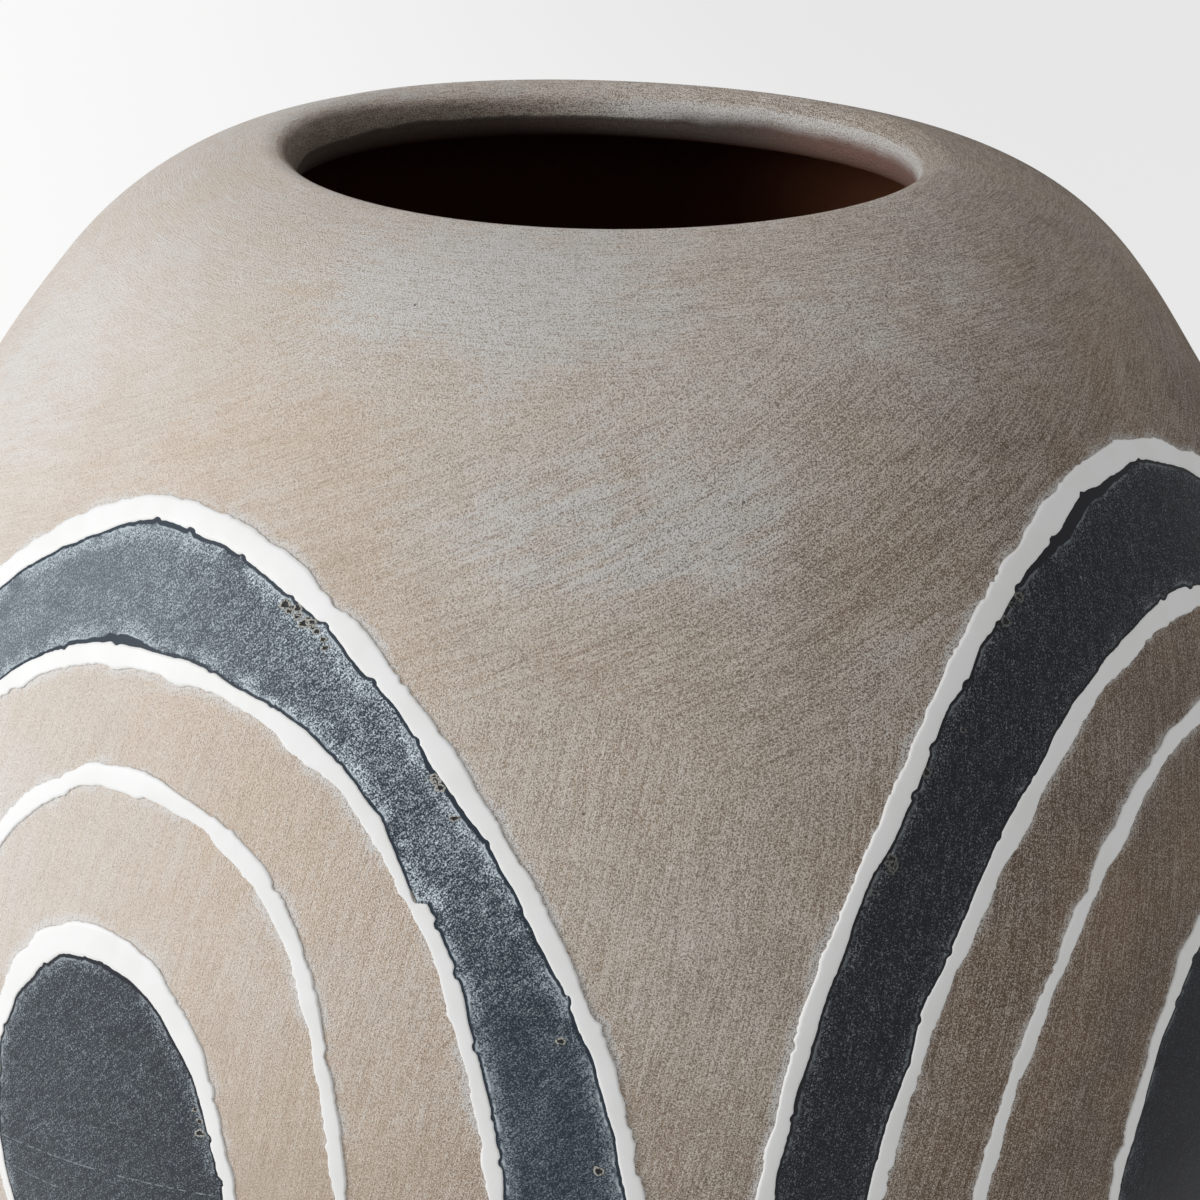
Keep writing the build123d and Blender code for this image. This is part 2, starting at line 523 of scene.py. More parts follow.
@dataclass(frozen=True)
class Scratch:
    """Thin straight scratch between two places, each a turn in degrees, a radius and a height."""

    start: tuple[float, float, float]
    end: tuple[float, float, float]
    half_width: float = 0.22 * MM
    fade: ClassVar[float] = 0.02

    def drawn(self, sheet: FinishSheet, place: Signal) -> Signal:
        """Draws the scratch on the jar.

        Args:
            sheet: the material's sheet.
            place: object coordinates in metres.

        Returns:
            1 along its middle and 0 away from it.
        """
        start, end = on_ring(*self.start), on_ring(*self.end)
        run = end - start
        across = np.cross(run, (start + end) * (1.0, 1.0, 0.0))
        offset = sheet.vector("SUBTRACT", place, tuple(start))
        level = sheet.dot(offset, tuple(across / np.linalg.norm(across)))
        drawn = level.maths("ABSOLUTE", level).rise(self.half_width, 0.3 * self.half_width)
        along = sheet.dot(offset, tuple(run / (run @ run)))
        drawn = drawn * along.rise(-self.fade, self.fade)
        return drawn * along.rise(1.0 + self.fade, 1.0 - self.fade)


SCRATCHES = (
    Scratch((-144.3, 178.5 * MM, 155.4 * MM), (-123.7, 179.0 * MM, 162.8 * MM)),
    Scratch((-145.1, 178.0 * MM, 147.8 * MM), (-138.4, 178.0 * MM, 149.2 * MM)),
)


@dataclass(frozen=True)
class ClayFinish(Finish):
    """Taupe clay under rubbed whitewash, pale at the left from dust and painted light, with raw
    clay and painted light and shade in the mouth.
    """

    title: ClassVar[str] = "rubbed_clay"
    bare: Colour = (0.168, 0.115, 0.080)
    ochre: Colour = (0.250, 0.165, 0.104)
    pale: Colour = (0.725, 0.615, 0.518)
    pale_ochre: Colour = (0.728, 0.584, 0.458)
    wash: Colour = (0.835, 0.815, 0.795)
    fleck: Colour = (0.860, 0.786, 0.710)
    pore: Colour = (0.105, 0.078, 0.060)
    shaded: Colour = (0.102, 0.071, 0.053)
    crease: Colour = (0.040, 0.030, 0.025)
    brown: Colour = (0.064, 0.039, 0.028)
    pink: Colour = (0.240, 0.118, 0.086)
    raw: Colour = (0.120, 0.034, 0.014)
    lit_raw: Colour = (0.380, 0.140, 0.066)
    cloud_size: float = 80 * MM
    tint_size: float = 38 * MM
    blotch_size: float = 17 * MM
    speck_size: float = 1.5 * MM
    grain_size: float = 0.32 * MM
    score_width: float = 0.25 * MM
    wisp_width: float = 2.0 * MM
    pin_spacing: float = 12 * MM
    relief_depth: float = 0.36 * MM
    side_unit: float = 100 * MM

    def paint(self, sheet: FinishSheet, place: Signal) -> None:
        """Writes the clay: its breaking up, its dust and painted light, its whitewash, its colours
        and the mouth.

        Args:
            sheet: the material's sheet.
            place: object coordinates in metres.
        """
        # Where on the jar: across runs from the left to the right, depth into the mouth
        across = sheet.dot(place, (1.0 / self.side_unit, 0.0, 0.0))
        height = sheet.dot(place, UP)
        high = height.rise(296 * MM, 336 * MM)
        low = height.rise(240 * MM, 160 * MM)
        low = low + height.rise(270 * MM, 205 * MM) * across.rise(0.38, 0.68)
        depth = sheet.attribute("mouth_depth")
        line_gap = sheet.attribute("line_gap")
        # Painted shade: on the left the darkened inner face starts just under the crest
        shift = across.rise(-0.2, -0.7) * depth.rise(0.22 * MM, 0.6 * MM) * (2.6 * MM)
        face = (depth + shift).rise(2 * MM, 5 * MM)

        # What breaks the surface up, from broad clouds to single grains
        clouds = sheet.noise(place, self.cloud_size, 3.0, 0.55, 3.0)
        blotches = sheet.noise(place, self.blotch_size, 3.0, 0.6, 7.0)
        specks = sheet.noise(place, self.speck_size, 2.0, 0.6, 59.0)
        grain = sheet.noise(place, self.grain_size, 2.0, 0.65)
        scores = sheet.brushed(place, self.score_width, 40.0)
        wisps = sheet.brushed(place, self.wisp_width, 8.0, 61.0)
        tint = sheet.noise(place, self.tint_size, 3.0, 0.6, 19.0)
        rough = 1.20 + across.rise(-1.1, -0.1) * 0.80
        fine = 0.5 + ((grain - 0.5) * 1.25 + (scores - 0.5) * 0.36) * rough
        patchy = (clouds - 0.5) * 0.22 + (blotches - 0.5) * 0.16
        broken = (clouds - 0.5) * 0.6 + (blotches - 0.5) * 0.5 + (wisps - 0.5) * 0.5

        # Pale dust and painted light, thick at the left outside and at the right of the inner face;
        # thin at the left of the inner face as painted shade
        outer = 0.05 + across.rise(0.95, -0.62) * 0.88 - low * 0.17 + patchy
        outer = outer + high * (0.04 + across.rise(-0.5, 0.3) * across.rise(1.05, 0.55) * 0.14)
        inner = 0.34 + across * 0.55 + across.rise(0.08, 0.34) * 0.76 + patchy * 2.0
        dust_and_light = (outer * (1.0 - face) + inner * face).at_least(0.03).at_most(0.92)

        # Whitewash, in broken patches and along the lines, with more at the left and at the right
        # of the inner face as painted light
        cover = 0.32 - across * 0.16 + broken * (1.15 - high * across.rise(-0.2, 0.4) * 0.5)
        cover = cover + high * 0.26 - low * 0.22
        cover = cover + line_gap.rise(2.6 * MM, 0.2 * MM) * blotches.rise(0.40, 0.58) * 0.8
        cover = cover + face * (across * 0.6 + across.rise(0.0, 0.40) * 0.60 - 0.12)
        torn = 0.85 + broken * 2.4
        for cloud in WASH_CLOUDS:
            cover = cover + cloud.spread(sheet, place) * torn
        cover = cover.at_least(0.0).at_most(1.0)

        # Colour of the outside: dusted ground, darkened on the inner face as painted shade, flecks
        # of wash, dark pores and pinholes
        warm = (tint + across.rise(0.0, -1.0) * (1.0 - high) * 0.10).rise(0.36, 0.66)
        ground = sheet.blend(face * 0.9, sheet.blend(warm, self.bare, self.ochre), self.shaded)
        ground = sheet.blend(dust_and_light, ground, sheet.blend(warm, self.pale, self.pale_ochre))
        flecks = (fine + specks * 0.22 + cover * 0.27).rise(0.56, 0.96)
        sand = 0.72 + across.rise(-1.0, -0.3) * (0.10 + across.rise(1.05, 0.55) * 0.38)
        # Painted shade: fewer flecks on the left of the inner face
        shade = 1.0 - face * across.rise(0.38, -0.45) * 0.62
        chalk = sheet.blend(cover.rise(0.30, 1.0), self.fleck, self.wash)
        speckled = (flecks * (0.60 + dust_and_light * 0.36) * sand + cover * 0.12) * shade
        outside = sheet.blend(speckled, ground, chalk)
        # Painted sheen: a pale wash over the far left stands in for the lamp's glossy reflection
        painted_left_sheen = across.rise(-0.75, -1.60) * (0.34 + cover * 0.35)
        outside = sheet.blend(painted_left_sheen, outside, self.wash)
        smear = line_gap.rise(1.1 * MM, 0.0) * specks.rise(0.36, 0.56)
        outside = sheet.blend(smear * 0.75, outside, self.wash)
        spacing = {"Vector": place, "Scale": 1.0 / self.pin_spacing}
        cells = sheet.node("ShaderNodeTexVoronoi", {"feature": "F1"}, spacing)
        lot = sheet.dot(Signal(sheet, cells.outputs["Color"]), RIGHT)
        pins = Signal(sheet, cells.outputs["Distance"]).rise(0.036, 0.014) * lot.rise(0.78, 0.84)
        pores = fine.rise(0.42, 0.18) * (0.56 - dust_and_light * 0.18) * sand
        outside = sheet.blend(pores.at_least(pins * 0.9), outside, self.pore)

        # The mouth, painted lit at the right and painted shaded at the left: a brown ledge with a
        # painted shadow in the crease under the lip, then raw clay
        right = across.rise(0.15, 0.45)
        ragged = depth + (blotches - 0.5) * (3 * MM)
        ledge = sheet.blend(across.rise(0.40, 0.72), self.brown, self.pink)
        sharp, soft = ragged.rise(7.6 * MM, 8.8 * MM), ragged.rise(4.0 * MM, 8.4 * MM)
        throat = sheet.blend((sharp * (1.0 - right) + soft * right) * 0.94, outside, ledge)
        # Painted shadow: a dark line in the crease under the lip, at the left only
        line = ragged.rise(7.4 * MM, 8.0 * MM) * ragged.rise(9.0 * MM, 8.3 * MM)
        line = line * clouds.rise(0.38, 0.50) * (1.0 - right)
        throat = sheet.blend(line * 0.7, throat, self.crease)
        # Painted light: the raw clay inside is lit at the right
        inside = sheet.blend(across.rise(0.35, 0.95), self.raw, self.lit_raw)
        within = (depth + (blotches - 0.5) * (2 * MM)).rise(11.5 * MM, 15 * MM)
        colour = sheet.blend(within, throat, inside)
        relief = fine + specks * 0.35 + blotches * 0.3 - pins * 0.9
        roughness = 0.92 - flecks * 0.14
        sheet.close(colour, roughness, relief, self.relief_depth, Specular_IOR_Level=0.25)


@dataclass(frozen=True)
class WhiteLineFinish(Finish):
    """Thick white enamel trailed by hand, satin, with a thin brown line where it meets the clay."""

    title: ClassVar[str] = "white_enamel"
    white: Colour = (0.832, 0.836, 0.832)
    cream: Colour = (0.800, 0.800, 0.785)
    edge: Colour = (0.330, 0.260, 0.200)
    flow_size: float = 12 * MM
    stain_size: float = 14 * MM
    grain_size: float = 1.1 * MM
    relief_depth: float = 0.10 * MM

    def paint(self, sheet: FinishSheet, place: Signal) -> None:
        """Writes the enamel, creamy where it flowed thin and stained along its foot.

        Args:
            sheet: the material's sheet.
            place: object coordinates in metres.
        """
        flow = sheet.noise(place, self.flow_size, 2.0, 0.5, 5.0)
        grain = sheet.noise(place, self.grain_size, 2.0, 0.55, 9.0)
        stained = sheet.noise(place, self.stain_size, 2.0, 0.5, 13.0).rise(0.46, 0.56)
        foot = sheet.attribute("rise").rise(0.22, 0.02)
        stain = foot * (0.20 + stained * 0.80) * grain.rise(0.30, 0.55)
        colour = sheet.blend(flow.rise(0.45, 0.70) * 0.7, self.white, self.cream)
        colour = sheet.blend(stain * 0.8, colour, self.edge)
        relief = flow * 0.85 + grain * 0.15
        roughness = 0.42 + grain * 0.12
        sheet.close(colour, roughness, relief, self.relief_depth, Specular_IOR_Level=0.35)


@dataclass(frozen=True)
class BlackPaintFinish(Finish):
    """Blue-black paint under rubbed dust, lighter with painted sheen on the arches at the left,
    with a clean dark rim along the white lines.
    """

    title: ClassVar[str] = "rubbed_black"
    black: Colour = (0.0125, 0.0122, 0.0165)
    rubbed: Colour = (0.025, 0.039, 0.056)
    greyed: Colour = (0.116, 0.139, 0.164)
    dust: Colour = (0.715, 0.810, 0.870)
    cloud_size: float = 34 * MM
    broad_size: float = 30 * MM
    blotch_size: float = 8 * MM
    crumb_size: float = 1.8 * MM
    grain_size: float = 0.34 * MM
    score_width: float = 0.30 * MM
    score_length: float = 12.0
    rim_width: float = 0.62 * MM
    fringe_width: float = 4.2 * MM
    relief_depth: float = 0.20 * MM

    def paint(self, sheet: FinishSheet, place: Signal) -> None:
        """Writes the paint: its dark film with its painted sheen, the rim along the lines and the
        dust on it.

        Args:
            sheet: the material's sheet.
            place: object coordinates in metres.
        """
        # Where on the jar
        worn = sheet.attribute("worn")
        side, height = sheet.dot(place, RIGHT), sheet.dot(place, UP)
        left = side.rise(20 * MM, -20 * MM)
        low = height.rise(245 * MM, 195 * MM) * side.rise(-95 * MM, -50 * MM) * left
        low = low + height.rise(240 * MM, 205 * MM) * side.rise(86 * MM, 104 * MM)

        # What breaks the surface up
        clouds = sheet.noise(place, self.cloud_size, 3.0, 0.6, 23.0)
        blotches = sheet.noise(place, self.blotch_size, 3.0, 0.6, 29.0)
        crumbs = sheet.noise(place, self.crumb_size, 2.0, 0.6, 47.0)
        grain = sheet.noise(place, self.grain_size, 2.0, 0.65, 31.0)
        broad = sheet.noise(place, self.broad_size, 1.0, 0.5, 53.0).rise(0.60, 0.76)
        slanted, steep = (
            sheet.strokes(place, self.score_width, self.score_length, slope, 37.0)
            for slope in (DIAGONAL_STROKE, STEEP_STROKE)
        )
        scores = slanted * left + steep * (1.0 - left)
        fine = 0.5 + (grain - 0.5) * 1.10 + (scores - 0.5) * 0.26

        # Clean rim along the lines, and where the dust lies inside it
        rim = self.rim_width + broad * (0.5 * MM) + (crumbs - 0.5) * (0.7 * MM)
        inside = sheet.attribute("line_gap") - rim
        clear = inside.rise(-0.08 * MM, 0.14 * MM)
        fringe = clear * inside.rise(self.fringe_width, 0.1 * MM) * blotches.rise(0.32, 0.56)
        cover = worn * (0.56 + (clouds - 0.5) * 0.8 + (blotches - 0.5) * 0.8)
        cover = cover + fringe * (0.22 + worn * 0.55)
        cover = cover + worn * height.rise(238 * MM, 268 * MM) * left * 0.20
        cover = cover.at_least(0.0).at_most(1.2)
        flecks = (fine + (crumbs - 0.5) * 0.12 + cover * 0.12).rise(0.50, 0.86)
        seam = clear * inside.rise(0.9 * MM, 0.15 * MM)
        seam = seam * blotches.rise(0.42, 0.56) * crumbs.rise(0.36, 0.52)
        scratched = reduce(Signal.at_least, (scratch.drawn(sheet, place) for scratch in SCRATCHES))
        scratched = scratched * crumbs.rise(0.40, 0.56) * 0.30

        # Colours: the film greys at the left as painted sheen
        greyed = side.rise(-60 * MM, -120 * MM) * worn * worn * clear
        # Painted sheen: the film lightens towards the rubbed colour with wear and with sheen
        film = sheet.blend(worn * (0.45 + cover * 0.6), self.black, self.rubbed)
        film = sheet.blend(greyed, film, self.greyed)
        dusted = flecks * clear * (0.27 + worn * 0.31 + cover * 0.50 - greyed * 0.42)
        dusted = (dusted * (1.0 - low * 0.60)).at_least(seam * (0.14 + worn * 0.50))
        colour = sheet.blend(dusted.at_least(scratched), film, self.dust)
        roughness = 0.50 + clear * 0.14 + flecks * 0.10
        relief = fine * clear + clear * 0.25
        sheet.close(colour, roughness, relief, self.relief_depth, Specular_IOR_Level=0.22)


@dataclass(frozen=True)
class BlisterFinish(Finish):
    """Burst blisters in the paint: a pale dusty rim round a dark hole."""

    title: ClassVar[str] = "burst_blister"
    hole: Colour = (0.010, 0.011, 0.013)
    rim: Colour = (0.430, 0.420, 0.385)
    grain_size: float = 0.40 * MM
    relief_depth: float = 0.05 * MM

    def paint(self, sheet: FinishSheet, place: Signal) -> None:
        """Writes the blister, paler where the paint round it is more rubbed and carries more
        painted sheen.

        Args:
            sheet: the material's sheet.
            place: object coordinates in metres.
        """
        grain = sheet.noise(place, self.grain_size, 2.0, 0.6, 43.0)
        rim = (sheet.attribute("ring_radius") + (grain - 0.5) * 0.5).rise(0.56, 0.68)
        rim = rim * grain.rise(0.34, 0.50)
        colour = sheet.blend(rim * (0.25 + sheet.attribute("worn") * 0.75), self.hole, self.rim)
        roughness = 0.55 + rim * 0.3
        sheet.close(colour, roughness, grain, self.relief_depth, Specular_IOR_Level=0.3)


# Form of the jar


@dataclass(frozen=True)
class Arc:
    """Round stretch of the outline, between two leans of its outward normal from straight up."""

    centre: Spot
    radius: float
    start: float
    end: float

    def point(self, lean: float, offset: float = 0.0) -> Spot:
        """Point where the normal has that lean, moved out by the offset."""
        reach = self.radius + offset
        return (self.centre[0] + reach * math.sin(lean), self.centre[1] + reach * math.cos(lean))

    def points(self, spacing: float, offset: float = 0.0) -> list[Spot]:
        """Evenly spaced points from the start to the end.

        Args:
            spacing: largest distance between neighbours.
            offset: how far outside the arc they lie.

        Returns:
            The points.
        """
        steps = max(2, math.ceil(self.radius * abs(self.end - self.start) / spacing))
        return [self.point(lean, offset) for lean in np.linspace(self.start, self.end, steps + 1)]

    def cut(self, start: float, end: float) -> "Arc":
        """The same arc between two other leans."""
        return Arc(self.centre, self.radius, start, end)


@dataclass(frozen=True)
class JarForm:
    """Outline of the jar in radius and height, in metres and radians."""

    belly_radius: float
    belly_height: float
    crest_height: float
    floor: float
    seam_radius: float
    foot_radius: float = 98.0 * MM
    foot_rounding: float = 1.1 * MM
    shoulder_share: float = 0.3
    collar_lean: float = math.radians(14.0)
    collar_length: float = 6.0 * MM
    crest_radius: float = 80.0 * MM
    lip_radius: float = 7.0 * MM
    throat_depth: float = 2.0 * MM
    heel_radius: float = 5.0 * MM
    wall: float = 10.0 * MM
    tongue: float = 3.0 * MM

    @classmethod
    def from_frame(cls) -> "JarForm":
        """Takes the overall sizes from the packed clay pieces.

        Returns:
            The form.
        """
        nodes = ("lower_wall", "shoulder_wall", "rim_coil")
        lower, shoulder, rim = (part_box(node) for node in nodes)
        return cls(
            belly_radius=lower[1][0],
            belly_height=shoulder[0][2],
            crest_height=rim[1][2],
            floor=lower[0][2],
            seam_radius=rim[1][0],
        )

    @cached_property
    def lip(self) -> Arc:
        """Rounding of the lip, from the collar over the crest to the throat."""
        centre = (self.crest_radius, self.crest_height - self.lip_radius)
        return Arc(centre, self.lip_radius, self.collar_lean, -math.pi / 2)

    @cached_property
    def heel(self) -> Arc:
        """Rounding under the throat."""
        throat = self.crest_radius - self.lip_radius
        centre = (throat + self.heel_radius, self.lip.centre[1] - self.throat_depth)
        return Arc(centre, self.heel_radius, -math.pi / 2, -math.pi)

    @cached_property
    def collar_end(self) -> Spot:
        """Outer end of the straight collar."""
        start = self.lip.point(self.collar_lean)
        return Arc(start, self.collar_length, 0.0, 0.0).point(self.collar_lean + math.pi / 2)

    @cached_property
    def upper_arcs(self) -> tuple[Arc, Arc]:
        """Flank and shoulder, which run smoothly from the upright belly to the collar."""
        lean = self.collar_lean
        reach = self.belly_radius - self.collar_end[0]
        fall = self.collar_end[1] - self.belly_height
        turn_term = 2 * self.shoulder_share * (1 - math.sin(lean))
        chord = reach * math.cos(lean) + fall * math.sin(lean)
        chord_term = fall + self.shoulder_share * chord
        root = math.sqrt(chord_term**2 + turn_term * (reach**2 + fall**2))
        flank_tangent = (root - chord_term) / turn_term
        shoulder_tangent = self.shoulder_share * flank_tangent
        joint = math.atan2(
            fall - flank_tangent - shoulder_tangent * math.sin(lean),
            reach - shoulder_tangent * math.cos(lean),
        )
        shoulder_radius = shoulder_tangent / math.tan((joint - lean) / 2)
        flank_radius = flank_tangent / math.tan((math.pi / 2 - joint) / 2)
        shoulder_centre = Arc(self.collar_end, -shoulder_radius, 0.0, 0.0).point(lean)
        flank_centre = (self.belly_radius - flank_radius, self.belly_height)
        return (
            Arc(flank_centre, flank_radius, math.pi / 2, joint),
            Arc(shoulder_centre, shoulder_radius, joint, lean),
        )

    @cached_property
    def lower(self) -> Arc:
        """Lower wall, from the foot up to the belly."""
        undercut = 2 * math.atan((self.belly_radius - self.foot_radius) / self.belly_height)
        radius = self.belly_height / math.sin(undercut)
        centre = (self.belly_radius - radius, self.belly_height)
        return Arc(centre, radius, math.pi / 2 + undercut, math.pi / 2)

    @cached_property
    def rim_lean(self) -> float:
        """Lean of the clay at the seam of the rim."""
        shoulder = self.upper_arcs[1]
        return math.asin((self.seam_radius - shoulder.centre[0]) / shoulder.radius)

    def floor_lean(self, offset: float) -> float:
        """Lean of the lower wall, moved out by the offset, at the top of the slab."""
        return math.acos((self.floor - self.belly_height) / (self.lower.radius + offset))

    def on_clay(
        self, turns: np.ndarray, heights: np.ndarray, proud: float = 0.0
    ) -> tuple[np.ndarray, np.ndarray]:
        """Places on the clay between the foot and the shoulder.

        Args:
            turns: angles round the axis.
            heights: heights above the floor.
            proud: how far above the clay the places lie.

        Returns:
            The places and the outward normals there.
        """
        flank, lower = self.upper_arcs[0], self.lower
        up = np.asarray(heights) - self.belly_height
        radius = np.where(up > 0, flank.radius, lower.radius)
        centre = np.where(up > 0, flank.centre[0], lower.centre[0])
        out = np.sqrt(radius**2 - up**2)
        normals = np.stack([np.cos(turns) * out, np.sin(turns) * out, up], axis=-1)
        normals /= radius[..., None]
        rings = centre + out
        places = np.stack([np.cos(turns) * rings, np.sin(turns) * rings, heights], axis=-1)
        return places + normals * proud, normals


def eased(values: np.ndarray, low: float, high: float) -> np.ndarray:
    """Smooth rise from 0 to 1.

    Args:
        values: numbers to ease.
        low: where the rise starts.
        high: where it ends.

    Returns:
        One share per value.
    """
    share = np.clip((values - low) / (high - low), 0.0, 1.0)
    return share * share * (3 - 2 * share)


# Waves of the thrown wall: weight, waves round the jar, climb in radians a metre, start
WALL_WAVES = (
    (1.0, 2, 4.0, 0.7),
    (0.6, 3, -25.0, 2.1),
    (0.5, 5, 55.0, 0.0),
    (0.35, 7, -90.0, 1.0),
    (0.3, 1, 260.0, 0.0),
)


@dataclass(frozen=True)
class PottersHand:
    """Small unevenness of a jar made by hand, as one gentle bending of space round it."""

    form: JarForm
    rim_rise: float = 1.8 * MM
    rim_high_side: float = math.radians(142.0)
    rim_saddle: float = 0.75 * MM
    rim_saddle_side: float = math.radians(-27.0)
    rim_shift: float = 3.1 * MM
    rim_shift_side: float = math.radians(19.0)
    rim_start: float = 290.0 * MM
    rim_full: float = 340.0 * MM
    still_height: float = 40.0 * MM
    swell: float = 0.30 * MM

    def bend(self, places: np.ndarray) -> np.ndarray:
        """Moves points as the clay moved.

        Args:
            places: points of the even jar, one row each.

        Returns:
            The same points on the uneven jar.
        """
        x, y, z = places.T
        turn = np.arctan2(y, x)
        waves = sum(
            weight * np.cos(count * turn + climb * z + start)
            for weight, count, climb, start in WALL_WAVES
        )
        out = 1 + self.swell * waves * eased(z, 0.0, self.still_height) / self.form.belly_radius
        risen = eased(z, self.rim_start, self.rim_full)
        wave = self.rim_rise * np.cos(turn - self.rim_high_side)
        wave += self.rim_saddle * np.cos(2 * (turn - self.rim_saddle_side))
        shift = self.rim_shift * risen
        return np.stack(
            [
                x * out + shift * math.cos(self.rim_shift_side),
                y * out + shift * math.sin(self.rim_shift_side),
                z + wave * risen,
            ],
            axis=-1,
        )


# Meshes


def set_values(mesh: bpy.types.Mesh, name: str, values: np.ndarray) -> None:
    """Stores one number per point on a mesh.

    Args:
        mesh: the mesh.
        name: the name that materials and trees read.
        values: one number, or one vector, per point.
    """
    kind, key = ("FLOAT", "value") if values.ndim == 1 else ("FLOAT_VECTOR", "vector")
    layer = mesh.attributes.new(name, kind, "POINT")
    layer.data.foreach_set(key, np.ascontiguousarray(values, dtype=np.float32).ravel())


def get_values(mesh: bpy.types.Mesh, name: str) -> np.ndarray:
    """Reads one number per point from a mesh.

    Args:
        mesh: the mesh.
        name: the name that the numbers are kept under.

    Returns:
        The numbers.
    """
    values = np.empty(len(mesh.vertices), dtype=np.float32)
    mesh.attributes[name].data.foreach_get("value", values)
    return values


def get_places(mesh: bpy.types.Mesh) -> np.ndarray:
    """Reads the points of a mesh.

    Args:
        mesh: the mesh.

    Returns:
        One row per point.
    """
    places = np.empty(len(mesh.vertices) * 3, dtype=np.float32)
    mesh.vertices.foreach_get("co", places)
    return places.reshape(-1, 3).astype(float)


def set_places(mesh: bpy.types.Mesh, places: np.ndarray) -> None:
    """Moves a mesh's points."""
    mesh.vertices.foreach_set("co", np.ascontiguousarray(places, dtype=np.float32).ravel())
    mesh.update()


def face_outwards(mesh: bpy.types.Mesh) -> None:
    """Turns the faces round if they point inwards.

    Args:
        mesh: a closed mesh.
    """
    mesh.calc_loop_triangles()
    corners = np.empty(len(mesh.loop_triangles) * 3, dtype=np.int32)
    mesh.loop_triangles.foreach_get("vertices", corners)
    first, second, third = get_places(mesh)[corners.reshape(-1, 3)].transpose(1, 0, 2)
    if np.einsum("ij,ij->i", first, np.cross(second, third)).sum() < 0:
        mesh.flip_normals()


def add_object(name: str, data: bpy.types.ID) -> bpy.types.Object:
    """Adds an object to the scene.

    Args:
        name: its name.
        data: its mesh, lamp or camera.

    Returns:
        The new object.
    """
    thing = bpy.data.objects.new(name, data)
    bpy.context.scene.collection.objects.link(thing)
    return thing


def thread(name: str, places: np.ndarray, closed: bool = False) -> bpy.types.Object:
    """Makes an object whose mesh is one chain of edges.

    Args:
        name: the object's name.
        places: points of the chain in order.
        closed: whether the last point joins the first.

    Returns:
        The new object.
    """
    count = len(places)
    edges = [(step, (step + 1) % count) for step in range(count if closed else count - 1)]
    mesh = bpy.data.meshes.new(name)
    mesh.from_pydata(places.tolist(), edges, [])
    return add_object(name, mesh)


def hand_over(piece: bpy.types.Object, slot: str, *nodes: str) -> None:
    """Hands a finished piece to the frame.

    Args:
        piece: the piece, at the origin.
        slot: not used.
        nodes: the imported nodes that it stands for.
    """
    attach(piece, BODY)
    if nodes:
        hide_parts(*nodes)
    mesh = piece.data
    LOG.info("%s: %d points, %d faces", piece.name, len(mesh.vertices), len(mesh.polygons))


# Clay body


@dataclass
class Outline:
    """Closed section of one ring of clay, gathered point by point."""

    rings: list[float] = field(default_factory=list)
    heights: list[float] = field(default_factory=list)
    corners: list[float] = field(default_factory=list)
    depths: list[float] = field(default_factory=list)

    def add(self, spots: Iterable[Spot], corner: bool = False, depth: float = 0.0) -> None:
        """Adds points to the section.

        Args:
            spots: the points, as radius and height.
            corner: whether the section has a sharp corner there.
            depth: how deep inside the mouth they lie.
        """
        for ring, height in spots:
            self.rings.append(ring)
            self.heights.append(height)
            self.corners.append(float(corner))
            self.depths.append(max(depth, 0.0))

    def add_below(self, spots: Iterable[Spot], crest: float) -> None:
        """Adds points inside the mouth, whose depth is how far they lie below the crest."""
        for spot in spots:
            self.add([spot], depth=crest - spot[1])


def thrown_ring_tree() -> ShapeSheet:
    """Writes the tree that turns a section round the jar's axis.

    Returns:
        The tree, with the input Columns.
    """
    sheet = ShapeSheet("thrown_ring", {"Columns": "NodeSocketInt"})
    section = sheet.signal("GeometryNodeMeshToCurve", sockets={"Mesh": sheet.given("Geometry")})
    circle = {"Resolution": sheet.given("Columns"), "Radius": 1.0}
    wheel = sheet.signal("GeometryNodeCurvePrimitiveCircle", sockets=circle)
    wheel = sheet.keep(wheel, "facing", sheet.signal("GeometryNodeInputPosition"), "FLOAT_VECTOR")
    sweep = {"Curve": wheel, "Profile Curve": section}
    wall = sheet.signal("GeometryNodeCurveToMesh", sockets=sweep)
    flat = sheet.scaled(sheet.carried("facing", "FLOAT_VECTOR"), sheet.carried("ring_radius"))
    place = sheet.vector("ADD", flat, sheet.scaled(UP, sheet.carried("ring_height")))
    wall = sheet.signal("GeometryNodeSetPosition", sockets={"Geometry": wall, "Position": place})
    merge = {"Geometry": wall, "Distance": MERGE_DISTANCE}
    wall = sheet.signal("GeometryNodeMergeByDistance", sockets=merge)
    sheet.close(wall)
    return sheet


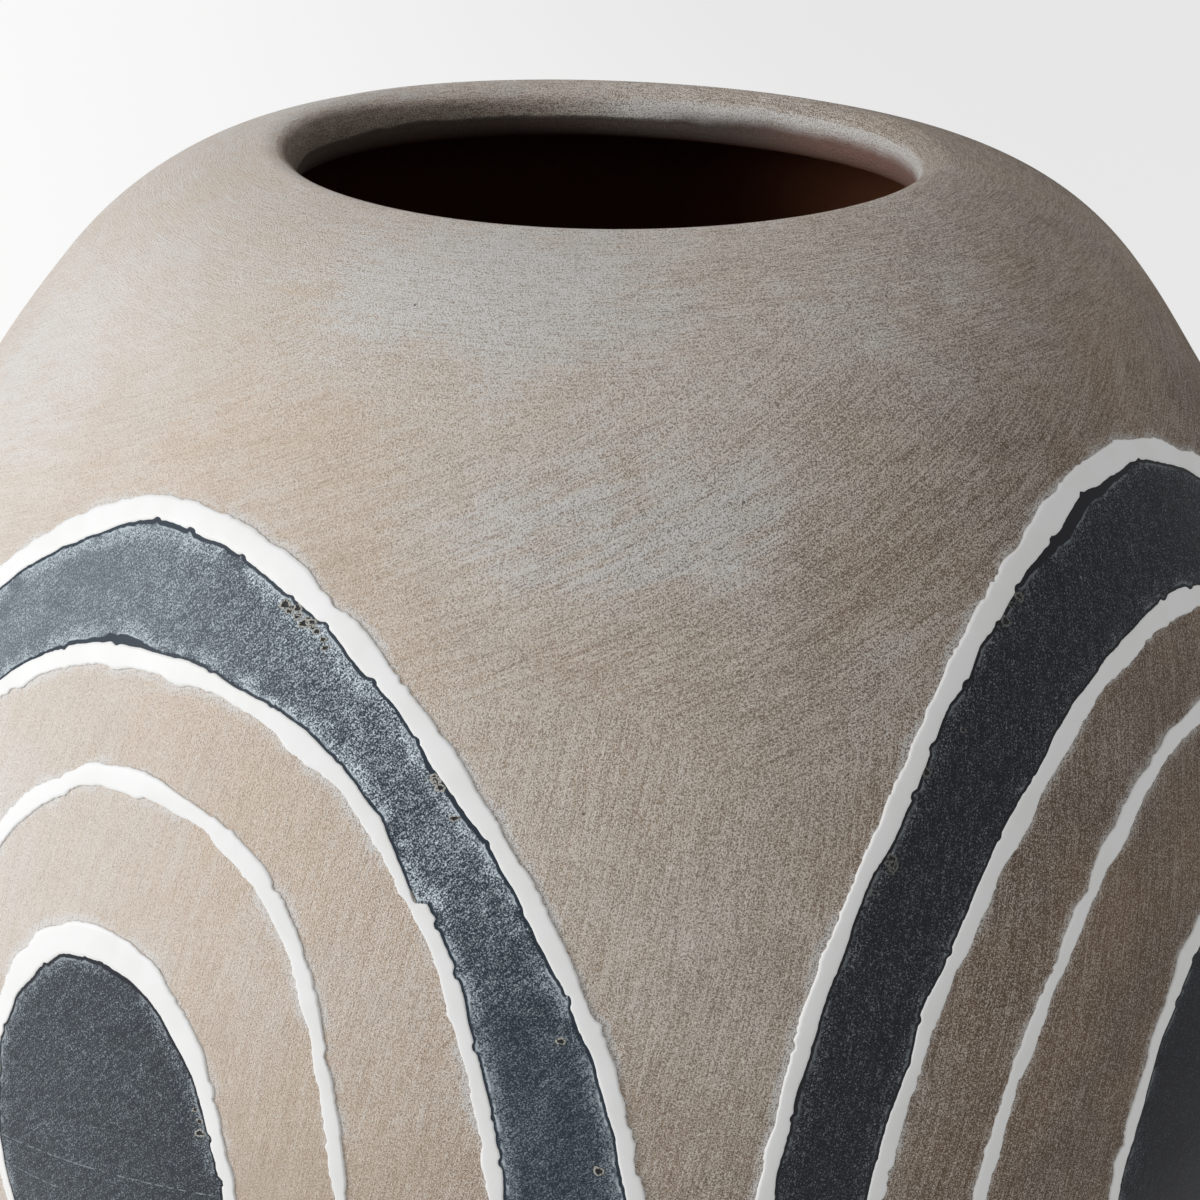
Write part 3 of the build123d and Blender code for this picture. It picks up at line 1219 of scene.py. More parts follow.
@dataclass
class ClayBody:
    """The four luted sections of thrown clay."""

    form: JarForm
    hand: PottersHand
    lines: kdtree.KDTree
    finish: ClayFinish = ClayFinish()
    columns: int = 640
    row: float = 1.7 * MM
    inner_row: float = 9.0 * MM
    hidden_depth: float = 60.0 * MM
    haze_reach: float = 12.0 * MM
    outside_depth: float = 1.0 * MM
    bare_top: float = 30.0 * MM

    def seam(self, outer: Spot, inner: Spot, lean: float) -> Spot:
        """Top of the ridge along the middle of a luted seam."""
        middle = ((outer[0] + inner[0]) / 2, (outer[1] + inner[1]) / 2)
        return Arc(middle, self.form.tongue, 0.0, 0.0).point(lean)

    @cached_property
    def base_seam(self) -> list[Spot]:
        """Outer edge, ridge and inner edge of the seam on the slab."""
        form = self.form
        outer = form.lower.point(form.floor_lean(0.0))
        inner = form.lower.point(form.floor_lean(-form.wall), -form.wall)
        return [outer, self.seam(outer, inner, 0.0), inner]

    @cached_property
    def belly_seam(self) -> list[Spot]:
        """Outer edge, ridge and inner edge of the seam at the belly."""
        outer = (self.form.belly_radius, self.form.belly_height)
        inner = (self.form.belly_radius - self.form.wall, self.form.belly_height)
        return [outer, self.seam(outer, inner, 0.0), inner]

    @cached_property
    def rim_seam(self) -> list[Spot]:
        """Outer edge, ridge and inner edge of the seam of the rim."""
        shoulder, lean = self.form.upper_arcs[1], self.form.rim_lean
        outer, inner = shoulder.point(lean), shoulder.point(lean, -self.form.wall)
        return [outer, self.seam(outer, inner, lean - math.pi / 2), inner]

    def close_seam(self, outline: Outline, seam: Sequence[Spot], outwards: bool) -> None:
        """Adds a seam to a section.

        Args:
            outline: the section.
            seam: outer edge, ridge and inner edge.
            outwards: whether the section runs from the inner edge to the outer one.
        """
        spots = list(zip(seam, (0.0, 0.0, self.hidden_depth)))
        for spot, depth in reversed(spots) if outwards else spots:
            outline.add([spot], corner=True, depth=depth)

    def base_slab(self) -> Outline:
        """Lays out the flat disc that the jar stands on.

        Returns:
            Its section.
        """
        form, outline = self.form, Outline()
        start = (form.foot_radius - form.foot_rounding, 0.0)
        rounding = form.foot_rounding / form.lower.radius
        wall = form.lower.cut(form.lower.start - rounding, form.floor_lean(0.0))
        outline.add([(0.0, form.floor)], depth=self.hidden_depth)
        outline.add([(0.0, 0.0), (0.5 * form.foot_radius, 0.0), start])
        corner, end = (form.foot_radius, 0.0), wall.point(wall.start)
        for share in (0.25, 0.5, 0.75):
            weights = ((1 - share) ** 2, 2 * share * (1 - share), share**2)
            outline.add([tuple(np.dot(weights, (start, corner, end)))])
        outline.add(wall.points(self.row)[:-1])
        self.close_seam(outline, self.base_seam, outwards=False)
        return outline

    def lower_wall(self) -> Outline:
        """Lays out the thrown lower half.

        Returns:
            Its section.
        """
        form, outline = self.form, Outline()
        self.close_seam(outline, self.base_seam, outwards=True)
        outline.add(form.lower.cut(form.floor_lean(0.0), math.pi / 2).points(self.row)[1:-1])
        self.close_seam(outline, self.belly_seam, outwards=False)
        inner = form.lower.cut(math.pi / 2, form.floor_lean(-form.wall))
        outline.add(inner.points(self.inner_row, -form.wall)[1:-1], depth=self.hidden_depth)
        return outline

    def shoulder_wall(self) -> Outline:
        """Lays out the thrown upper half.

        Returns:
            Its section.
        """
        form, outline = self.form, Outline()
        flank, shoulder = form.upper_arcs
        shoulder = shoulder.cut(shoulder.start, form.rim_lean)
        self.close_seam(outline, self.belly_seam, outwards=True)
        outline.add(flank.points(self.row)[1:])
        outline.add(shoulder.points(self.row)[1:-1])
        self.close_seam(outline, self.rim_seam, outwards=False)
        inner = shoulder.points(self.inner_row, -form.wall)[-2::-1]
        inner += flank.points(self.inner_row, -form.wall)[-2:0:-1]
        outline.add(inner, depth=self.hidden_depth)
        return outline

    def rim_coil(self) -> Outline:
        """Lays out the thick ring of the mouth.

        Returns:
            Its section.
        """
        form, outline = self.form, Outline()
        shoulder = form.upper_arcs[1].cut(form.rim_lean, form.collar_lean)
        fine = 0.5 * self.row
        self.close_seam(outline, self.rim_seam, outwards=True)
        outline.add(shoulder.points(fine)[1:])
        outline.add_below(form.lip.points(fine), form.crest_height)
        outline.add_below(form.heel.points(fine), form.crest_height)
        return outline

    def build(self) -> None:
        """Throws the four sections and dresses them."""
        tree = thrown_ring_tree()
        clay = self.finish.material()
        for section in (self.base_slab, self.lower_wall, self.shoulder_wall, self.rim_coil):
            outline = section()
            rings, heights = np.array(outline.rings), np.array(outline.heights)
            name = f"clay_{section.__name__}"
            piece = thread(name, np.stack([rings, 0 * rings, heights], axis=-1), closed=True)
            set_values(piece.data, "ring_radius", rings)
            set_values(piece.data, "ring_height", heights)
            set_values(piece.data, "corner", np.array(outline.corners))
            set_values(piece.data, "mouth_depth", np.array(outline.depths))
            tree.shape(piece, {"Columns": self.columns, "Finish": clay})
            self.dress(piece.data)
            hand_over(piece, "clay", section.__name__)

    def dress(self, mesh: bpy.types.Mesh) -> None:
        """Gives a thrown section sharp corners, its distance from the lines and its unevenness.

        Args:
            mesh: the thrown section.
        """
        ends = np.empty(len(mesh.edges) * 2, dtype=np.int32)
        mesh.edges.foreach_get("vertices", ends)
        sharp = get_values(mesh, "corner")[ends].reshape(-1, 2).min(axis=1) > 0.5
        mesh.attributes.new("sharp_edge", "BOOLEAN", "EDGE").data.foreach_set("value", sharp)
        places = get_places(mesh)
        near = get_values(mesh, "mouth_depth") < self.outside_depth
        near &= places[:, 2] < self.form.crest_height - self.bare_top
        gaps = np.full(len(places), self.haze_reach)
        for index in np.flatnonzero(near):
            gaps[index] = min(self.lines.find(places[index])[2], self.haze_reach)
        set_values(mesh, "line_gap", gaps)
        face_outwards(mesh)
        set_places(mesh, self.hand.bend(places))


# Arches


@dataclass(frozen=True)
class LineShape:
    """One white line of an arch.

    Drop and step are measured from the line before it, or from the crest and halfway to the next
    arch. Left and right are the roundness of its curve on either side of the crown.
    """

    drop: float
    step: float
    left: float
    right: float
    leg_half: float
    crown_half: float


class Line(Enum):
    """White lines of an arch, from the outside in."""

    OUTER = "outer_line"
    SECOND = "second_line"
    THIRD = "third_line"
    INNER = "inner_line"

    @property
    def black_sides(self) -> tuple[int, ...]:
        """Sides of the line that the black paint touches: 1 outside, -1 inside."""
        return {"outer_line": (-1,), "second_line": (1,), "inner_line": (-1,)}.get(self.value, ())


class Pattern(Enum):
    """The two drawings of an arch that take turns round the jar."""

    BROAD_BAND = {
        Line.OUTER: LineShape(51.1 * MM, 18.1 * MM, 1.75, 2.0, 1.8 * MM, 3.1 * MM),
        Line.SECOND: LineShape(27.3 * MM, 29.3 * MM, 1.85, 2.55, 1.7 * MM, 2.3 * MM),
        Line.THIRD: LineShape(23.2 * MM, 32.8 * MM, 1.7, 2.85, 1.6 * MM, 2.4 * MM),
        Line.INNER: LineShape(34.1 * MM, 25.3 * MM, 1.95, 2.4, 1.6 * MM, 3.8 * MM),
    }
    NARROW_BAND = {
        Line.OUTER: LineShape(47.4 * MM, 13.2 * MM, 2.0, 1.75, 1.8 * MM, 3.0 * MM),
        Line.SECOND: LineShape(30.0 * MM, 23.4 * MM, 1.95, 1.8, 1.8 * MM, 2.5 * MM),
        Line.THIRD: LineShape(21.6 * MM, 24.9 * MM, 1.85, 1.85, 1.6 * MM, 2.0 * MM),
        Line.INNER: LineShape(36.9 * MM, 39.7 * MM, 1.8, 1.9, 1.6 * MM, 2.6 * MM),
    }


@dataclass(frozen=True)
class EdgeMark:
    """Place along a line's leg where the black paint did something of its own."""

    line: Line
    right: bool
    height: float
    reach: float
    amount: float


@dataclass(frozen=True)
class ArchPlan:
    """One arch: where it faces in degrees, its drawing, how rubbed its paint is with its painted
    sheen, and its marks.
    """

    turn: float
    pattern: Pattern
    band_wear: float
    field_wear: float
    blisters: tuple[EdgeMark, ...] = ()
    bites: tuple[EdgeMark, ...] = ()
    pools: tuple[EdgeMark, ...] = ()


class Arch(Enum):
    """The four arches."""

    # Band and field wear carry painted sheen too: high on the arches at the left, low on those at
    # the right
    FRONT_LEFT = ArchPlan(
        226.35,
        Pattern.BROAD_BAND,
        1.0,
        0.42,
        (
            EdgeMark(Line.OUTER, True, 285.4 * MM, 3.2 * MM, 14),
            EdgeMark(Line.OUTER, True, 258.0 * MM, 1.8 * MM, 5),
            EdgeMark(Line.INNER, True, 181.0 * MM, 2.4 * MM, 3),
        ),
        (EdgeMark(Line.SECOND, True, 232.5 * MM, 17.0 * MM, 2.6 * MM),),
        (
            EdgeMark(Line.OUTER, False, 297.0 * MM, 12.0 * MM, 0.4 * MM),
            EdgeMark(Line.SECOND, False, 269.4 * MM, 5.0 * MM, 1.4 * MM),
        ),
    )
    FRONT_RIGHT = ArchPlan(
        313.65,
        Pattern.NARROW_BAND,
        0.08,
        0.08,
        (
            EdgeMark(Line.OUTER, False, 284.0 * MM, 1.6 * MM, 3),
            EdgeMark(Line.OUTER, False, 238.6 * MM, 3.5 * MM, 6),
        ),
        pools=(EdgeMark(Line.OUTER, False, 296.5 * MM, 17.0 * MM, 2.2 * MM),),
    )
    BACK_RIGHT = ArchPlan(
        46.35,
        Pattern.BROAD_BAND,
        0.25,
        0.15,
        (EdgeMark(Line.OUTER, False, 262.0 * MM, 3.5 * MM, 8),),
    )
    BACK_LEFT = ArchPlan(
        133.65,
        Pattern.NARROW_BAND,
        0.55,
        0.35,
        (EdgeMark(Line.OUTER, True, 247.0 * MM, 3.5 * MM, 8),),
    )

    @property
    def title(self) -> str:
        """The arch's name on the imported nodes."""
        return self.name.lower()


@dataclass(frozen=True)
class LinePath:
    """Middle of a white line on the clay, at even steps from leg over crown to leg."""

    turns: np.ndarray
    heights: np.ndarray
    along: np.ndarray
    half_width: np.ndarray

    def step_at(self, right: bool, height: float) -> int:
        """Finds where a leg passes a height.

        Args:
            right: whether it is the leg on the right.
            height: the height.

        Returns:
            The nearest step.
        """
        crown = int(self.heights.argmax())
        leg = self.heights[crown:] if right else self.heights[:crown]
        return int(np.abs(leg - height).argmin()) + (crown if right else 0)


@dataclass(frozen=True)
class BeadWaves:
    """Unevenness of a trailed line: lengths and shares of its waves, and the power of its top."""

    swell: float = 18.0 * MM
    swell_share: float = 0.36
    drift: float = 30.0 * MM
    tear: float = 11.0 * MM
    crumb: float = 1.5 * MM
    chip: float = 5.0 * MM
    bulge: float = 12.0 * MM
    plump: float = 7.0 * MM
    plump_share: float = 0.14
    roundness: float = 0.22


def trailed_line_tree(waves: BeadWaves = BeadWaves()) -> ShapeSheet:
    """Writes the tree that trails a bead of enamel along a path.

    Args:
        waves: its unevenness.

    Returns:
        The tree, with inputs for the bead's sides, height, depth, wander, ragged edges and nicks.
    """
    sizes = ["Height", "Bury", "Wander"]
    sizes += [f"{kind} {side}" for kind in ("Ragged", "Nick") for side in ("Outside", "Inside")]
    inputs = {"Sides": "NodeSocketInt", **dict.fromkeys([*sizes, "Seed"], "NodeSocketFloat")}
    sheet = ShapeSheet("trailed_line", inputs)
    path = sheet.signal("GeometryNodeMeshToCurve", sockets={"Mesh": sheet.given("Geometry")})
    circle = {"Resolution": sheet.given("Sides"), "Radius": 1.0}
    rod = sheet.signal("GeometryNodeCurvePrimitiveCircle", sockets=circle)
    position = sheet.signal("GeometryNodeInputPosition")
    rod = sheet.keep(rod, "across", sheet.dot(position, RIGHT))
    rod = sheet.keep(rod, "rise", sheet.dot(position, BACK))
    sweep = {"Curve": path, "Profile Curve": rod, "Fill Caps": True}
    bead = sheet.signal("GeometryNodeCurveToMesh", sockets=sweep)

    # Where the two edges of the bead come to lie: swollen, torn, nicked and bitten
    along, across, rise = (sheet.carried(name) for name in ("along", "across", "rise"))
    seed = sheet.given("Seed")
    swell = 1.0 + sheet.wobble(along, waves.swell, seed + 3.3) * waves.swell_share
    drift = sheet.wobble(along, waves.drift, seed + 7.9) * sheet.given("Wander")
    edge = across * sheet.carried("half_width") * swell
    for side, start in ((1.0, 13.7), (-1.0, 29.3)):
        title = "Outside" if side > 0 else "Inside"
        part = (across * side).at_least(0.0) ** 2.0
        torn = sheet.wobble(along, waves.tear, seed + start + 40.0).rise(-0.3, 0.5)
        rag = sheet.wobble(along, waves.crumb, seed + start, 2.0) * 0.55
        rag = rag + sheet.wobble(along, waves.chip, seed + start + 5.0) * 0.8
        rag = rag * (0.35 + torn) + sheet.wobble(along, waves.bulge, seed + start + 9.0)
        nick = sheet.wobble(along, waves.chip, seed + start + 60.0, 0.0).rise(0.42, 0.75)
        pull = rag * sheet.given(f"Ragged {title}") - nick * sheet.given(f"Nick {title}")
        edge = edge + part * side * pull
    edge = edge - sheet.carried("bite") * (across + 1.0) * 0.5

    # The rounded top of the bead, and its underside in the clay
    crown = rise.at_least(0.0) ** waves.roundness
    plump = 1.0 + sheet.wobble(along, waves.plump, seed + 41.0) * waves.plump_share
    lift = crown * sheet.given("Height") * plump + rise.at_most(0.0) * sheet.given("Bury")
    offset = sheet.vector(
        "ADD",
        sheet.scaled(sheet.carried("side", "FLOAT_VECTOR"), drift + edge),
        sheet.scaled(sheet.carried("lean", "FLOAT_VECTOR"), lift),
    )
    place = sheet.vector("ADD", sheet.carried("seat", "FLOAT_VECTOR"), offset)
    bead = sheet.signal("GeometryNodeSetPosition", sockets={"Geometry": bead, "Position": place})
    sheet.close(bead)
    return sheet


def set_blisters_tree() -> ShapeSheet:
    """Writes the tree that sets a burst blister on every point of a mesh.

    Returns:
        The tree, with the input Blister.
    """
    sheet = ShapeSheet("set_blisters", {"Blister": "NodeSocketObject"})
    chosen = {"Object": sheet.given("Blister")}
    blister = sheet.signal("GeometryNodeObjectInfo", sockets=chosen, output="Geometry")
    upright = {"Vector": sheet.carried("lean", "FLOAT_VECTOR")}
    sockets = {
        "Points": sheet.given("Geometry"),
        "Instance": blister,
        "Rotation": sheet.signal("FunctionNodeAlignRotationToVector", {"axis": "Z"}, upright),
        "Scale": sheet.carried("blister_size", "FLOAT_VECTOR"),
    }
    sheet.close(sheet.signal("GeometryNodeInstanceOnPoints", sockets=sockets))
    return sheet


def nearest_points(places: np.ndarray) -> kdtree.KDTree:
    """Readies points for finding the nearest of them.

    Args:
        places: the points, one row each.

    Returns:
        The tree to search.
    """
    tree = kdtree.KDTree(len(places))
    for index, place in enumerate(places):
        tree.insert(place, index)
    tree.balance()
    return tree


@dataclass
class ArchDecoration:
    """One arch: four trailed white lines, the black band between two of them and the field."""

    form: JarForm
    hand: PottersHand
    arch: Arch
    springing_drop: float = 28.0 * MM
    leg_end: float = 16.0 * MM
    step: float = 0.55 * MM
    sweep_points: int = 2001
    leg_points: int = 400
    line_height: float = 0.56 * MM
    buried: float = 0.45 * MM
    paint_height: float = 0.32 * MM
    band_rows: int = 820
    band_columns: int = 44
    field_columns: int = 72
    bead_sides: int = 16
    bead_edge: float = 0.99
    arch_seed: float = 17.0
    line_seed: float = 4.3
    blister_seed: int = 100
    wander: float = 0.8 * MM
    ragged_by_black: float = 0.45 * MM
    ragged_by_clay: float = 0.95 * MM
    nick_by_black: float = 0.75 * MM
    bite_start: float = 1.2 * MM
    lone_blisters: int = 5
    lone_reach: float = 9.0 * MM
    blister_inset: float = 0.8 * MM
    blister_small: float = 0.50 * MM
    blister_large: float = 1.25 * MM
    edges: dict[tuple[Line, int], np.ndarray] = field(default_factory=dict)

    @cached_property
    def paths(self) -> dict[Line, LinePath]:
        """Middles of the four lines."""
        crown = self.form.crest_height
        half = self.form.belly_radius * math.pi / len(Arch)
        paths = {}
        for line, shape in self.arch.value.pattern.value.items():
            crown -= shape.drop
            half -= shape.step
            paths[line] = self.path(shape, crown, half)
        return paths

    def path(self, shape: LineShape, crown: float, half: float) -> LinePath:
        """Lays out the middle of one line.

        Args:
            shape: the line.
            crown: height of its crown.
            half: half its width at the legs, along the belly.

        Returns:
            The path at even steps.
        """
        springing = self.form.belly_height - self.springing_drop
        half_turn = half / self.form.belly_radius
        sweep = np.linspace(0.0, 1.0, self.sweep_points) * math.pi / 2
        leg = np.linspace(springing, self.leg_end, self.leg_points)[1:]
        sides = []
        for power in (2.0 / shape.left, 2.0 / shape.right):
            rise = (crown - springing) * np.maximum(np.cos(sweep), 0.0) ** power
            turn = half_turn * np.sin(sweep) ** power
            turn = np.append(turn, np.full(len(leg), half_turn))
            sides.append((turn, np.append(springing + rise, leg)))
        (left_turns, left_heights), (right_turns, right_heights) = sides
        heights = np.concatenate([left_heights[::-1], right_heights[1:]])
        turns = np.concatenate([-left_turns[::-1], right_turns[1:]])
        turns += math.radians(self.arch.value.turn)
        places, _ = self.form.on_clay(turns, heights)
        run = np.append(0.0, np.cumsum(np.linalg.norm(np.diff(places, axis=0), axis=1)))
        along = np.linspace(0.0, run[-1], math.ceil(run[-1] / self.step) + 1)
        turns, heights = np.interp(along, run, turns), np.interp(along, run, heights)
        high = np.clip((heights - springing) / (crown - springing), 0.0, 1.0) ** 3
        half_width = shape.leg_half + (shape.crown_half - shape.leg_half) * high
        to_end = np.minimum(along, run[-1] - along) / shape.leg_half
        half_width *= np.sqrt(np.clip(1 - np.clip(1 - to_end, 0, 1) ** 2, 0.0004, 1))
        return LinePath(turns, heights, along, half_width)

    def frame_of(self, line: Line) -> tuple[np.ndarray, np.ndarray, np.ndarray]:
        """Works out the directions along a line.

        Args:
            line: which line.

        Returns:
            Places on the clay, and the directions out of the arch and out of the clay there.
        """
        path = self.paths[line]
        seats, leans = self.form.on_clay(path.turns, path.heights)
        sides = np.cross(np.gradient(seats, axis=0), leans)
        sides /= np.linalg.norm(sides, axis=1)[:, None]
        return seats, sides * math.copysign(1.0, sides[len(sides) // 2][2]), leans

    def build_line(self, tree: ShapeSheet, line: Line, finish: bpy.types.Material) -> None:
        """Trails one white line and notes where its edges came to lie.

        Args:
            tree: the tree that trails a bead.
            line: which line.
            finish: its material.
        """
        path = self.paths[line]
        number, order = list(Arch).index(self.arch), list(Line).index(line)
        seats, sides, leans = self.frame_of(line)
        bite = np.zeros(len(seats))
        for mark in self.arch.value.bites:
            if mark.line is line:
                above = path.along[path.step_at(mark.right, mark.height)] - path.along
                tail = np.clip(1 - above / mark.reach, 0, 1) ** 0.8
                bite += mark.amount * np.clip(above / self.bite_start, 0, 1) * tail
        name = f"{self.arch.title}_{line.value}"
        piece = thread(f"enamel_{name}", seats)
        carried = {
            "seat": seats,
            "side": sides,
            "lean": leans,
            "along": path.along,
            "half_width": path.half_width,
            "bite": bite,
        }
        for key, points in carried.items():
            set_values(piece.data, key, points)
        values = {
            "Sides": self.bead_sides,
            "Height": self.line_height,
            "Bury": self.buried,
            "Wander": self.wander,
            "Seed": self.arch_seed * number + self.line_seed * order,
            "Finish": finish,
        }
        for side, title in ((1, "Outside"), (-1, "Inside")):
            black = side in line.black_sides
            values[f"Ragged {title}"] = self.ragged_by_black if black else self.ragged_by_clay
            values[f"Nick {title}"] = self.nick_by_black if black else 0.0
        tree.shape(piece, values)
        face_outwards(piece.data)
        places, across = get_places(piece.data), get_values(piece.data, "across")
        for side in (1, -1):
            self.edges[line, side] = places[across * side > self.bead_edge]
        set_places(piece.data, self.hand.bend(places))
        hand_over(piece, "white_line", name)

    def clay_edges(self) -> np.ndarray:
        """Gathers the edges that lie on bare clay.

        Returns:
            Points along them, one row each.
        """
        found = self.edges.items()
        bare = [edge for (line, side), edge in found if side not in line.black_sides]
        return np.concatenate(bare)

    def build_patch(
        self,
        name: str,
        edges: Sequence[np.ndarray],
        columns: int,
        borders: Sequence[Line],
        patch_wear_and_sheen: float,
        finish: bpy.types.Material,
    ) -> None:
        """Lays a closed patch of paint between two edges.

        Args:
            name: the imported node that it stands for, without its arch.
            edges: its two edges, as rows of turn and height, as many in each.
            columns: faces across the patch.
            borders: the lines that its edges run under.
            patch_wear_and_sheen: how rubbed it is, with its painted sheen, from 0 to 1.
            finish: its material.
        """
        share = np.linspace(0.0, 1.0, columns + 1)[None, :, None]
        grid = edges[0][:, None, :] * (1 - share) + edges[1][:, None, :] * share
        rims = grid[:, (0, -1)]
        rows = len(grid)
        top, _ = self.form.on_clay(grid[..., 0], grid[..., 1], self.paint_height)
        bottom, _ = self.form.on_clay(rims[..., 0], rims[..., 1], -self.buried)
        places = np.concatenate([top.reshape(-1, 3), bottom.reshape(-1, 3)])
        ids = np.arange(rows * (columns + 1)).reshape(rows, columns + 1)
        low = rows * (columns + 1) + np.arange(rows * 2).reshape(rows, 2)
        faces = []
        for above, below in zip(range(rows - 1), range(1, rows)):
            for left, right in zip(range(columns), range(1, columns + 1)):
                corners = ((above, left), (above, right), (below, right), (below, left))
                faces.append(tuple(ids[corner] for corner in corners))
            faces.append((low[above, 0], low[below, 0], low[below, 1], low[above, 1]))
            faces.append((ids[above, 0], ids[below, 0], low[below, 0], low[above, 0]))
            faces.append((ids[above, -1], low[above, 1], low[below, 1], ids[below, -1]))
        faces.append((*ids[0][::-1], low[0, 0], low[0, 1]))
        faces.append((*ids[-1], low[-1, 1], low[-1, 0]))
        mesh = bpy.data.meshes.new(name)
        mesh.from_pydata(places.tolist(), [], [tuple(map(int, face)) for face in faces])
        mesh.validate()
        piece = add_object(f"paint_{self.arch.title}_{name}", mesh)
        mesh.materials.append(finish)
        gaps = [self.edge_gaps(line, side, places) for line in borders for side in line.black_sides]
        set_values(mesh, "line_gap", np.min(gaps, axis=0))
        set_values(mesh, "worn", np.full(len(places), patch_wear_and_sheen))
        mesh.polygons.foreach_set("use_smooth", np.ones(len(mesh.polygons), dtype=bool))
        face_outwards(mesh)
        set_places(mesh, self.hand.bend(places))
        hand_over(piece, "black_paint", f"{self.arch.title}_{name}")

    def edge_gaps(self, line: Line, side: int, places: np.ndarray) -> np.ndarray:
        """How far paint lies from the edge of a line, less where clean paint pooled along the edge.

        Args:
            line: the line.
            side: its side, 1 outside or -1 inside.
            places: points of the paint.

        Returns:
            One distance per point.
        """
        path = self.paths[line]
        pool = np.zeros(len(path.along))
        for mark in self.arch.value.pools:
            if mark.line is line:
                off = (path.along - path.along[path.step_at(mark.right, mark.height)]) / mark.reach
                pool += mark.amount * np.exp(-(off**2))
        nearest = nearest_points(self.edges[line, side])
        found = [nearest.find(place) for place in places]
        return np.array([distance - pool[step] for _, step, distance in found])

    def build_band(self, finish: bpy.types.Material) -> None:
        """Lays the black band between the outer and the second line.

        Args:
            finish: its material.
        """
        borders = (Line.OUTER, Line.SECOND)
        edges = []
        for line in borders:
            path = self.paths[line]
            share = np.linspace(0.0, path.along[-1], self.band_rows)
            turns = np.interp(share, path.along, path.turns)
            edges.append(np.stack([turns, np.interp(share, path.along, path.heights)], axis=-1))
        patch_wear_and_sheen = self.arch.value.band_wear
        self.build_patch("black_band", edges, self.band_columns, borders, patch_wear_and_sheen, finish)

    def build_field(self, finish: bpy.types.Material) -> None:
        """Lays the black field inside the inner line.

        Args:
            finish: its material.
        """
        path = self.paths[Line.INNER]
        half = len(path.along) // 2
        edge = np.stack([path.turns, path.heights], axis=-1)
        edges = (edge[: half - 1], edge[::-1][: half - 1])
        patch_wear_and_sheen = self.arch.value.field_wear
        self.build_patch("black_field", edges, self.field_columns, (Line.INNER,), patch_wear_and_sheen, finish)

    def build_blisters(
        self, tree: ShapeSheet, blister: bpy.types.Object, finish: bpy.types.Material
    ) -> None:
        """Sets the burst blisters of the paint, in clusters along the lines and a few alone.

        Args:
            tree: the tree that sets them.
            blister: one blister of unit size.
            finish: their material.
        """
        draw = np.random.default_rng(self.blister_seed + list(Arch).index(self.arch))
        marks = list(self.arch.value.blisters)
        for _ in range(self.lone_blisters):
            height = draw.uniform(0.45, 0.95) * self.paths[Line.OUTER].heights.max()
            right = bool(draw.integers(2))
            marks.append(EdgeMark(Line.OUTER, right, height, self.lone_reach, 1))
        spots, sizes = [], []
        for mark in marks:
            path, count = self.paths[mark.line], int(mark.amount)
            seats, sides, _ = self.frame_of(mark.line)
            centre = path.step_at(mark.right, mark.height)
            steps = centre + np.round(draw.normal(0.0, mark.reach / self.step, count)).astype(int)
            inset = self.blister_inset
            inwards = path.half_width[steps] + draw.uniform(inset, inset + 0.6 * mark.reach, count)
            spots.append(seats[steps] - sides[steps] * inwards[:, None])
            width = draw.uniform(self.blister_small, self.blister_large, count)
            width = width * draw.choice((-1.0, 1.0), count)
            length = width * draw.uniform(0.7, 1.3, count)
            sizes.append(np.stack([width, length, 0.6 * np.abs(width)], axis=-1))
        spots = np.concatenate(spots)
        turns = np.arctan2(spots[:, 1], spots[:, 0])
        places, leans = self.form.on_clay(turns, spots[:, 2], self.paint_height)
        piece = thread(f"blisters_{self.arch.title}", self.hand.bend(places))
        set_values(piece.data, "lean", leans)
        set_values(piece.data, "blister_size", np.concatenate(sizes))
        tree.shape(piece, {"Blister": blister, "Finish": finish})
        set_values(piece.data, "worn", np.full(len(piece.data.vertices), self.arch.value.band_wear))
        hand_over(piece, "black_paint")


BLISTER_COLUMNS = 9
BLISTER_SECTION = (
    (0.0, 0.02),
    (0.50, 0.03),
    (0.66, 0.16),
    (0.85, 0.14),
    (1.0, 0.0),
    (0.8, -0.2),
    (0.0, -0.2),
)


def unit_blister(tree: ShapeSheet, finish: bpy.types.Material) -> bpy.types.Object:
    """Makes one burst blister of unit radius, to be set on the paint and then removed.

    Args:
        tree: the tree that turns a section.
        finish: its material.

    Returns:
        The blister, standing on the origin.
    """
    spots = np.array(BLISTER_SECTION)
    blister = thread("unit_blister", np.insert(spots, 1, 0.0, axis=1), closed=True)
    set_values(blister.data, "ring_radius", spots[:, 0])
    set_values(blister.data, "ring_height", spots[:, 1])
    tree.shape(blister, {"Columns": BLISTER_COLUMNS, "Finish": finish})
    face_outwards(blister.data)
    places = get_places(blister.data)
    turns = np.arctan2(places[:, 1], places[:, 0])
    places[:, :2] *= (1 + 0.20 * np.cos(2 * turns + 0.6) + 0.16 * np.cos(3 * turns))[:, None]
    set_places(blister.data, places)
    return blister


# Studio


